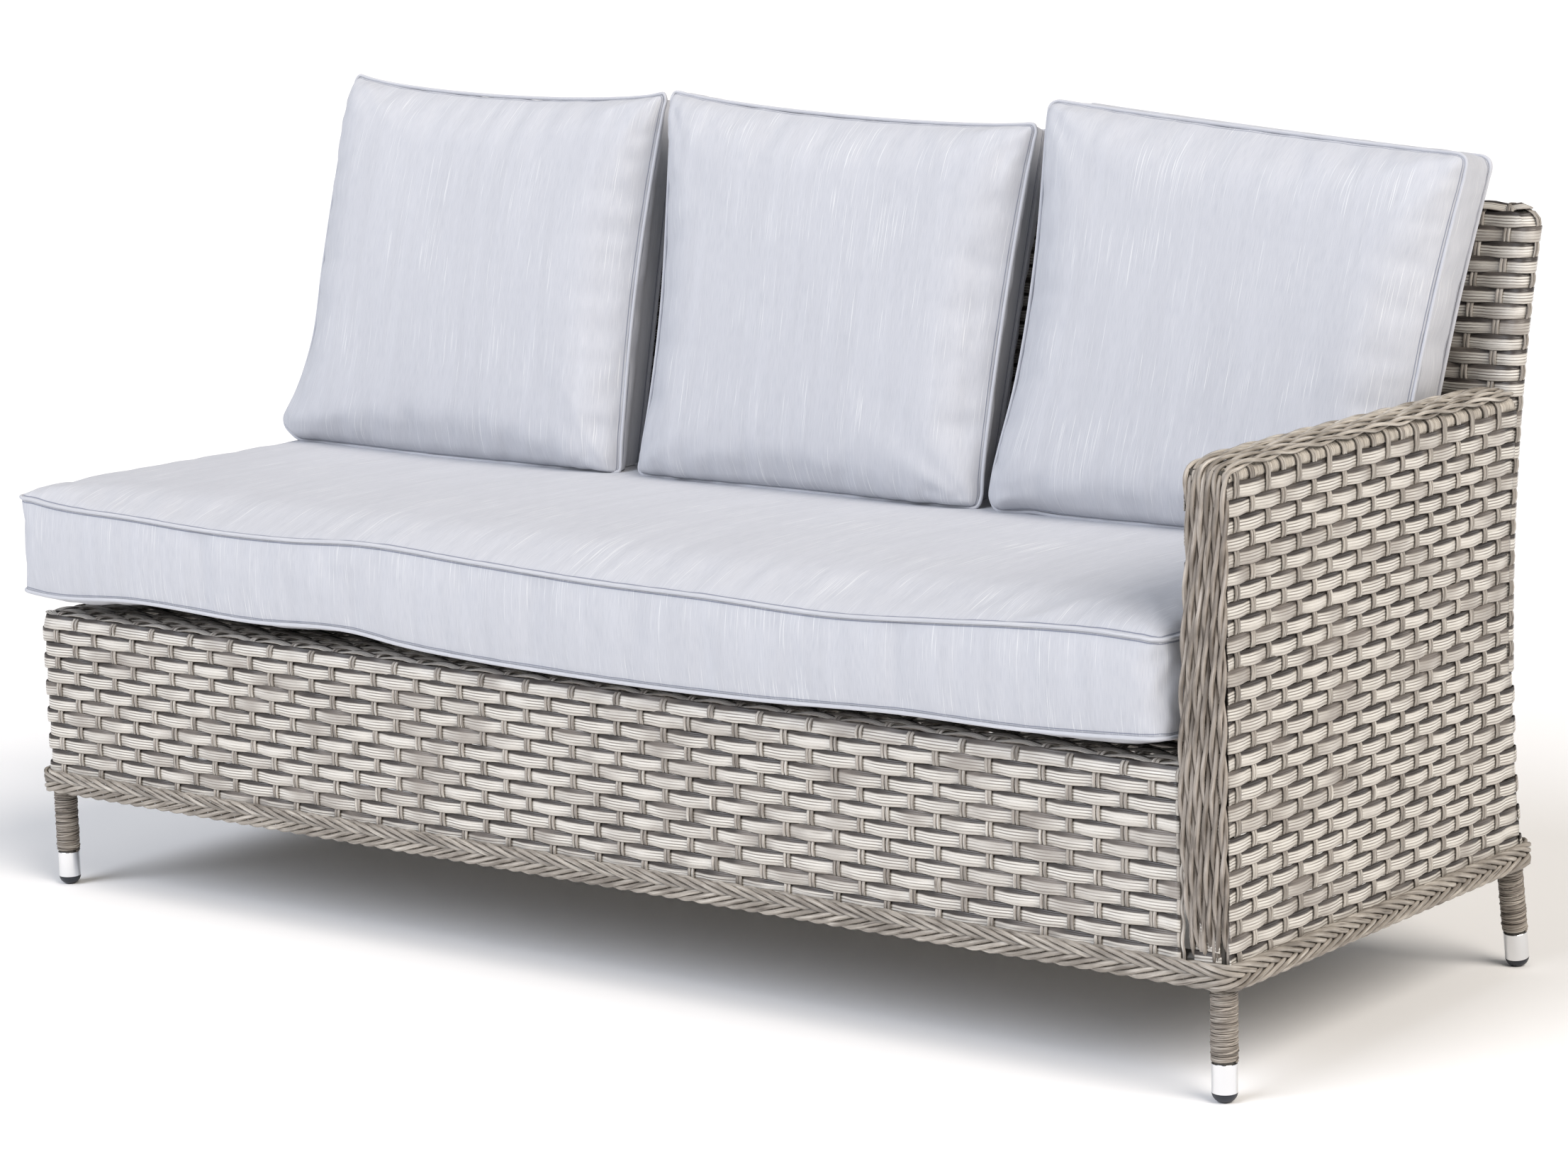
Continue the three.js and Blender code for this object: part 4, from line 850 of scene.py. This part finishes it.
def puffed(grid, direction, rise, radius, foot, seed, depth):
    """Raises a panel steeply by its seams, with puckers along them and folds in from the corners."""
    chance = np.random.default_rng(seed)
    across, up, i, j = seam_distance(grid)
    nearest = np.where(j < j[:, -1:] / 2, foot, radius)
    edge = [(1 - (1 - np.clip(d / r, 0, 1)) ** 2.6) ** 0.385 for d, r in ((across, radius), (up, nearest))]
    dome = 0.82 + 0.18 * np.sin(math.pi * i / i[-1:]) * np.sin(math.pi * j / j[:, -1:])
    height = rise * edge[0] * edge[1] * dome
    for near, along in ((across, j), (up, i)):
        waves = chance.uniform(24, 85, 4)
        pucker = sum(np.sin(2 * math.pi * along / w + chance.uniform(0, 6)) for w in waves)
        height += 0.3 * depth * pucker * np.exp(-near / 26) * (1 - np.exp(-near / 7))
    for a, b in CORNERS:
        away = grid - grid[a, b]
        reach = np.linalg.norm(away, axis=2)
        base = grid[a, -1 if b == 0 else 0] - grid[a, b]
        angle = np.arccos(np.clip(away @ base / np.maximum(reach * np.linalg.norm(base), 1e-6), -1, 1))
        folds = np.sin(angle * chance.uniform(8, 12) + chance.uniform(0, 6))
        folds += 0.6 * np.sin(angle * chance.uniform(15, 21) + chance.uniform(0, 6))
        height += depth * folds * (1 - np.exp(-reach / 30)) * np.exp(-reach / 95)
    return grid + direction * height[..., None]


def rim(grid):
    """A grid's border points in order round it, once each."""
    return np.concatenate([grid[:-1, 0], grid[-1, :-1], grid[:0:-1, -1], grid[0, :0:-1]])


def cover(name, face, back, rows, face_uv, side_uv):
    """A closed cushion cover: two panels of equal grids in millimetres and the boxing between."""
    shape = face.shape[:2]
    count = shape[0] * shape[1]
    numbers = np.arange(count).reshape(shape)
    rings = [rim(numbers), rim(numbers) + count]
    points = [face.reshape(-1, 3), back.reshape(-1, 3)]
    ends = [points[0][rings[0]], points[1][rings[0]]]
    walls = [rings[0]]
    for r in range(1, rows):
        walls.append(2 * count + (r - 1) * len(rings[0]) + np.arange(len(rings[0])))
        points.append(ends[0] + (ends[1] - ends[0]) * r / rows)
    walls.append(rings[1])
    points = np.concatenate(points)
    far = [np.minimum(*seam_distance(g)[:2]).ravel() for g in (face, back)]
    depth = np.linalg.norm(ends[1] - ends[0], axis=1)
    far += [depth * min(r, rows - r) / rows for r in range(1, rows)]
    faces, places = [], []
    for grid, shift, turned in ((face, 0, False), (back, count, True)):
        _, _, i, j = seam_distance(grid)
        uv = np.stack([i.mean(1)[:, None] + 0 * i, j.mean(0)[None] + 0 * j], 2).reshape(-1, 2) / 1000
        a, b = numbers[:-1, :-1].ravel(), numbers[1:, :-1].ravel()
        c, d = numbers[1:, 1:].ravel(), numbers[:-1, 1:].ravel()
        quads = np.stack([a, b, c, d], 1)
        quads = quads[:, ::-1] if turned else quads
        faces.append(quads + shift)
        places.append(face_uv(uv[quads]))
    along = np.r_[0, np.cumsum(np.linalg.norm(np.diff(ends[0], axis=0, append=ends[0][:1]), axis=1))] / 1000
    k = np.arange(len(rings[0]))
    k2 = (k + 1) % len(k)
    for r in range(rows):
        low, high = depth.mean() * r / rows / 1000 + 0 * k, depth.mean() * (r + 1) / rows / 1000 + 0 * k
        faces.append(np.stack([walls[r][k], walls[r + 1][k], walls[r + 1][k2], walls[r][k2]], 1))
        uv = [(along[k], low), (along[k], high), (along[k + 1], high), (along[k + 1], low)]
        places.append(side_uv(np.stack([np.stack(pair, 1) for pair in uv], 1)))
    points, far = points / 1000 + (LEFT, FRONT, 0), np.concatenate(far) / 1000
    piece = cloth_object(name, points, np.concatenate(faces), np.concatenate(places), far)
    piece.vertex_groups.new(name="seams").add([int(n) for ring in rings for n in ring], 1.0, "REPLACE")
    return piece, rings


def cloth_object(name, points, faces, places, far):
    """An object of cloth, with its pattern's places and each point's distance from a seam."""
    mesh = bpy.data.meshes.new(name)
    mesh.from_pydata(points.tolist(), [], faces.tolist())
    mesh.uv_layers.new(name="cloth").data.foreach_set("uv", places.ravel().astype(np.float32))
    work = bmesh.new()
    work.from_mesh(mesh)
    bmesh.ops.recalc_face_normals(work, faces=work.faces)
    work.to_mesh(mesh)
    work.free()
    mesh.attributes.new("seam", "FLOAT", "POINT").data.foreach_set("value", far)
    piece = bpy.data.objects.new(name, mesh)
    bpy.context.scene.collection.objects.link(piece)
    return piece


def read_points(mesh):
    points = np.empty(len(mesh.vertices) * 3)
    mesh.vertices.foreach_get("co", points)
    return points.reshape(-1, 3)


def blow(piece, pressure, slack, cap):
    """Runs the cover as cloth under pressure with its seams held. Moves level off towards cap."""
    before = read_points(piece.data)
    cloth = piece.modifiers.new("cover", "CLOTH")
    settings = cloth.settings
    settings.use_pressure = True
    settings.uniform_pressure_force = pressure
    settings.vertex_group_mass = "seams"
    settings.shrink_min = -slack
    settings.mass = 0.3
    settings.quality = 6
    settings.tension_stiffness = settings.compression_stiffness = 12
    settings.bending_stiffness = 0.4
    settings.effector_weights.gravity = 0
    for number in range(1, 21):
        bpy.context.scene.frame_set(number)
    blown = piece.evaluated_get(bpy.context.evaluated_depsgraph_get())
    after = read_points(blown.to_mesh())
    blown.to_mesh_clear()
    piece.modifiers.remove(cloth)
    bpy.context.scene.frame_set(1)
    step = after - before
    far = np.linalg.norm(step, axis=1, keepdims=True)
    return before + step * cap * np.tanh(far / cap) / np.maximum(far, 1e-9)


def piping(name, points, middle):
    """A welt along a closed seam: a tube of the cover's own cloth, set just outside the seam."""
    ahead = unit(np.roll(points, -1, axis=0) - np.roll(points, 1, axis=0))
    out = points - middle
    out = unit(out - ahead * np.sum(out * ahead, axis=1, keepdims=True))
    second = np.cross(out, ahead)
    count, sides = len(points), PIPE_SIDES
    turns = np.arange(sides) * 2 * math.pi / sides
    ring = np.cos(turns)[None, :, None] * out[:, None] + np.sin(turns)[None, :, None] * second[:, None]
    tube = (points + out * 0.0008)[:, None] + ring * PIPE_RADIUS / 1000
    i, j = np.repeat(np.arange(count), sides), np.tile(np.arange(sides), count)
    i2, j2 = (i + 1) % count, (j + 1) % sides
    faces = np.stack([i * sides + j, i * sides + j2, i2 * sides + j2, i2 * sides + j], 1)
    along = np.r_[0, np.cumsum(np.linalg.norm(np.diff(points, axis=0, append=points[:1]), axis=1))]
    v = 0.0019 * np.stack([j, j + 1, j + 1, j], 1)
    places = np.stack([v, np.stack([along[i], along[i], along[i + 1], along[i + 1]], 1)], 2)
    return cloth_object(name, tube.reshape(-1, 3), faces, places, np.ones(count * sides))


def finish_cushion(piece, rings, points, node):
    """Sets the blown cover, joins its welts to it, subdivides it once and hands it over."""
    piece.data.vertices.foreach_set("co", points.astype(np.float32).ravel())
    piece.data.update()
    piece.vertex_groups.clear()
    middle = points.mean(axis=0)
    welts = [piping(f"{piece.name}_welt_{n}", points[ring], middle) for n, ring in enumerate(rings)]
    select_only(piece, *welts)
    bpy.ops.object.join()
    smooth = piece.modifiers.new("smooth", "SUBSURF")
    smooth.levels = smooth.render_levels = 1
    bpy.ops.object.modifier_apply(modifier=smooth.name)
    piece.data.shade_smooth()
    piece.data.materials.append(FABRIC)
    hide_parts(node)
    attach(piece, "root")


SEAT_LEFT, SEAT_RIGHT, SEAT_FORE, SEAT_REAR = -14.0, 1727.0, -13.0, 590.0
SEAT_BACK_SEAM, SEAT_REAR_FOOT = 508.0, 372.0
front_top = [(0.0, 512), (0.04, 506), (0.12, 502), (0.2, 496), (0.28, 496), (0.345, 501), (0.45, 493)]
front_top += [(0.55, 486), (0.65, 485), (0.76, 482), (0.83, 488), (0.9, 495), (0.95, 497), (1.0, 493)]
front_foot = [(0.0, 391), (0.03, 388), (0.12, 395), (0.24, 389), (0.34, 392), (0.38, 384), (0.45, 377)]
front_foot += [(0.52, 374), (0.69, 375), (0.8, 382), (0.91, 382), (1.0, 389)]
front_top, front_foot = curve(front_top), curve(front_foot)
front_line = curve([(0.0, 2), (0.04, -1), (0.2, -2), (0.5, 2), (0.8, -3), (0.96, -1), (1.0, 2)])


def seat_seam(top):
    height = (front_top, SEAT_BACK_SEAM) if top else (front_foot, SEAT_REAR_FOOT)

    def edge(side, share):
        pull = np.sin(math.pi * share) ** 0.7
        if side in ("south", "north"):
            x = SEAT_LEFT + (SEAT_RIGHT - SEAT_LEFT) * share
            fore = side == "south"
            y = SEAT_FORE + front_line(share) + 2 * pull if fore else SEAT_REAR - 5 * pull
            return np.stack([x, y, height[0](share) if fore else height[1] + 0 * share], 1)
        y = SEAT_FORE + 2 + (SEAT_REAR - SEAT_FORE - 2) * share
        x = SEAT_LEFT + 8 * pull if side == "west" else SEAT_RIGHT + 11 * pull
        level = height[0](0.0 if side == "west" else 1.0)
        return np.stack([x, y, level + (height[1] - level) * share], 1)

    return edge


UP = np.array([0, 0, 1.0])
SEAT_SWELL = 17.0
SEAT_SINK = 9.0
seat_us, seat_vs = close_ends(150), close_ends(50)
seat_top = panel(seat_seam(True), seat_us, seat_vs)
fade = np.exp(-(seat_top[..., 1] - SEAT_FORE) / 105)
dip = (1 - fade) * (1 - seat_vs[None]) ** 2
middle = np.sin(math.pi * seat_us[:, None]) ** 0.3
seat_top[..., 2] += dip * (SEAT_BACK_SEAM - front_top(seat_us))[:, None] * middle
load = np.exp(-(((seat_vs[None] - 0.8) / 0.22) ** 2)) * np.clip(seat_us[:, None] * 6, 0, 1)
seat_top = puffed(seat_top, UP, SEAT_SWELL, 55.0, 55.0, 81, 1.5)
seat_top[..., 2] -= SEAT_SINK * load * np.sin(math.pi * seat_vs[None])
seat_foot = puffed(panel(seat_seam(False), seat_us, seat_vs), -UP, 9.0, 60.0, 60.0, 82, 0.6)
seat_foot[..., 2] = np.maximum(seat_foot[..., 2], DECK + 1.5)
seat, seat_rings = cover("seat_cover", seat_top, seat_foot, 10, lambda uv: uv, lambda uv: uv + 0.37)
seat_points = blow(seat, 3.0, 0.012, 0.009)
seat_points[:, 2] = np.maximum(seat_points[:, 2], (DECK + 1.5) / 1000)
seat_points[:, 1] = np.minimum(seat_points[:, 1], FRONT + (back_depth(420.0) - POST_INSET - 3) / 1000)
seat_points[:, 0] = np.minimum(seat_points[:, 0], LEFT + (ARM_FACE - 1.5) / 1000)
finish_cushion(seat, seat_rings, seat_points, "seat_cushion")
rest_grid = (seat_points[: seat_top[..., 0].size] - (LEFT, FRONT, 0)).reshape(seat_top.shape) * 1000


def seat_level(x, y):
    """Height of the finished seat cushion under a point."""
    columns = rest_grid[:, len(seat_vs) // 2, 0]
    rows = rest_grid[len(seat_us) // 2, :, 1]
    a = np.clip(np.searchsorted(columns, x) - 1, 0, len(columns) - 2)
    b = np.clip(np.searchsorted(rows, y) - 1, 0, len(rows) - 2)
    levels = rest_grid[..., 2]
    return np.maximum.reduce([levels[a, b], levels[a + 1, b], levels[a, b + 1], levels[a + 1, b + 1]])


# Back cushions: three loose boxed cushions with welts on both edges. They stand on the seat
# cushion, lean on the backrest and slump towards the arm, and their covers are blown out the same
# way. North, west and east are how far those seams draw in between the pointed corners, and plump
# is how much of the rear seam's drop below the front one is lost towards the head.

BACK_LEAN = 0.30
BACK_SEAM_DEPTH = 438.5
BOXING = 57.0
BACK_SWELL = 35.0
REAR_SWELL = 12.0
GAP_RECESS = 32.0
back_cushions = {
    "left": {
        "foot": (2, 609), "head": (40, 588), "top": (1018, 1003), "north": 21, "plump": 0.1,
        "west": [(0.0, 0), (0.08, 15), (0.22, 26), (0.45, 14), (0.8, 1), (1.0, 0)],
        "east": [(0.0, 0), (0.1, 4), (0.5, 12), (0.9, 4), (1.0, 0)],
        "base": [(0.0, 550), (0.05, 534), (0.2, 525), (0.6, 519), (1.0, 517)],
    },
    "middle": {
        "foot": (640, 1172), "head": (598, 1171), "top": (1005, 976), "north": 15, "plump": 0.3,
        "west": [(0.0, 0), (0.1, 5), (0.4, 14), (0.8, 6), (1.0, 0)],
        "east": [(0.0, 0), (0.1, 3), (0.5, 8), (0.9, 3), (1.0, 0)],
        "base": [(0.0, 524), (0.1, 519), (0.5, 518), (0.9, 516), (1.0, 521)],
    },
    "right": {
        "foot": (1184, 1731), "head": (1185, 1761), "top": (1002, 952), "north": 3, "plump": 0.62,
        "west": [(0.0, 0), (0.08, 2), (0.3, 14), (0.6, 15), (0.9, 4), (1.0, 0)],
        "east": [(0.0, 0), (0.1, 4), (0.5, 9), (0.9, 3), (1.0, 0)],
        "base": [(0.0, 529), (0.04, 519), (0.09, 525), (0.23, 519), (0.5, 514), (1.0, 516)],
    },
}
GAP_FOOT, GAP_HEAD = (624.5, 1178.0), (593.0, 1178.0)


def back_seam(shape, depth, lift):
    base = curve(shape["base"])

    def edge(side, share):
        if side == "south":
            x = shape["foot"][0] + (shape["foot"][1] - shape["foot"][0]) * share
            z = base(share)
        elif side == "north":
            x = shape["head"][0] + (shape["head"][1] - shape["head"][0]) * share
            z = shape["top"][0] + (shape["top"][1] - shape["top"][0]) * share
            z = z - shape["north"] * np.abs(np.sin(math.pi * share)) ** 0.45
        else:
            end = 0 if side == "west" else 1
            x = shape["foot"][end] + (shape["head"][end] - shape["foot"][end]) * share
            x = x + (1 - 2 * end) * curve(shape[side])(share)
            low = base(float(end))
            z = low + (shape["top"][end] - low) * share
        plump = 1 - shape["plump"] * np.clip((z - 520) / 460, 0, 1)
        return np.stack([x, BACK_SEAM_DEPTH + BACK_LEAN * (z - 480.0) + depth, z + lift * plump], 1)

    return edge


toward = np.array([0, -1, BACK_LEAN]) / math.hypot(1, BACK_LEAN)
back_us, back_vs = close_ends(48), close_ends(42)
for number, (side, shape) in enumerate(back_cushions.items()):
    flat = panel(back_seam(shape, 0, 0), back_us, back_vs)
    face = puffed(flat, toward, BACK_SWELL, 75.0, 44.0, 83 + number, 2.8)
    rear = panel(back_seam(shape, BOXING * 0.958, -BOXING * 0.287), back_us, back_vs)
    rear = puffed(rear, -toward, REAR_SWELL, 40.0, 40.0, 93 + number, 0.8)
    face_uv, side_uv = lambda uv: uv + number * 0.7, lambda uv: uv[..., ::-1] + number * 0.5
    piece, rings = cover(f"back_cover_{side}", face, rear, 6, face_uv, side_uv)
    points = (blow(piece, 3.0, 0.02, 0.014) - (LEFT, FRONT, 0)) * 1000
    x, y, z = points.T
    rest = back_depth(z) - POST_INSET * np.hypot(1, back_slope(z)) - 2
    y[:] = np.minimum(y, np.where(z < 894, rest, 1e6))
    x[:] = np.where(z < 694, np.minimum(x, ARM_FACE - 1.5), x)
    lean = (z - 520) / 484
    behind = np.clip((y - BACK_SEAM_DEPTH - BACK_LEAN * (z - 480)) / 30, 0, 1)
    for gap, keep in ((number - 1, np.maximum), (number, np.minimum)):
        if 0 <= gap < len(GAP_FOOT):
            line = GAP_FOOT[gap] + (GAP_HEAD[gap] - GAP_FOOT[gap]) * lean
            x[:] = keep(x, line + (0.8 + GAP_RECESS * behind) * (1 if keep is np.maximum else -1))
    z[:] = np.where(y < 592, np.maximum(z, seat_level(x, y) + 1.0), z)
    finish_cushion(piece, rings, points / 1000 + (LEFT, FRONT, 0), f"back_cushion_{side}")

# Frame tubes: welded aluminium, powder coated grey brown with a dull metallic look, seen inside the arm
# and from below. Every other solid gets the finish of the piece that stands for it.

TUBE = material("powder coated tube", "#4a4742", 0.55, 0.3)
finishes = {"frame": TUBE, "weave": STRAND, "cane": CANE, "sleeve": SLEEVE, "cap": CAP, "fabric": FABRIC}
slots = {subpart["node"]: subpart["material_slot"] for subpart in frame["record"]["subparts"]}
for name, node in frame["nodes"].items():
    node.data.materials.clear()
    node.data.materials.append(finishes[slots[name]])

# Studio: a camera at the photograph's place, two soft lights, a low white surrounding and a pale floor.
# The camera's place and turn were fitted to the photograph's perspective.

scene = bpy.context.scene
scene.view_settings.view_transform = "Standard"
lens_mm, sensor_mm = 97.50, 36.0
eye = Vector((4.08337 + LEFT, -3.65527 + 0.0045 + FRONT, 1.33480))
yaw, pitch, roll = math.radians(38.0623), math.radians(10.1768), math.radians(-1.4889)
ahead = Vector((-math.sin(yaw) * math.cos(pitch), math.cos(yaw) * math.cos(pitch), -math.sin(pitch)))
right = Vector((math.cos(yaw), math.sin(yaw), 0))
down = ahead.cross(right)
right_turned = right * math.cos(roll) - down * math.sin(roll)
down_turned = right * math.sin(roll) + down * math.cos(roll)
camera = bpy.data.objects.new("camera", bpy.data.cameras.new("camera"))
camera.data.lens, camera.data.sensor_width = lens_mm, sensor_mm
turned = Matrix((right_turned, -down_turned, -ahead)).transposed().to_4x4()
camera.matrix_world = Matrix.Translation(eye) @ turned
scene.collection.objects.link(camera)
scene.camera = camera

world = bpy.data.worlds.new("studio")
world.use_nodes = True
backdrop = world.node_tree.nodes["Background"]
backdrop.inputs["Color"].default_value = linear("#ffffff")
backdrop.inputs["Strength"].default_value = 0.25
scene.world = world


def sun(name, aim, power, code):
    """Soft, distant light that shines along a direction."""
    data = bpy.data.lights.new(name, "SUN")
    data.energy, data.angle, data.color = power, math.radians(40), linear(code)[:3]
    light = bpy.data.objects.new(name, data)
    light.matrix_world = Vector(aim).to_track_quat("-Z", "Y").to_matrix().to_4x4()
    scene.collection.objects.link(light)
    return light


key = sun("key", (0.35, 1.0, -0.8), 2.2, "#f1f5ff")
side = sun("side", (-1.0, 0.2, -0.95), 2.7, "#fff7ee")
bpy.ops.mesh.primitive_plane_add(size=60, location=(0, 0, 0))
floor = bpy.context.active_object
floor.name = "floor"
floor.data.materials.append(material("pale floor", "#ffffff", 0.9))
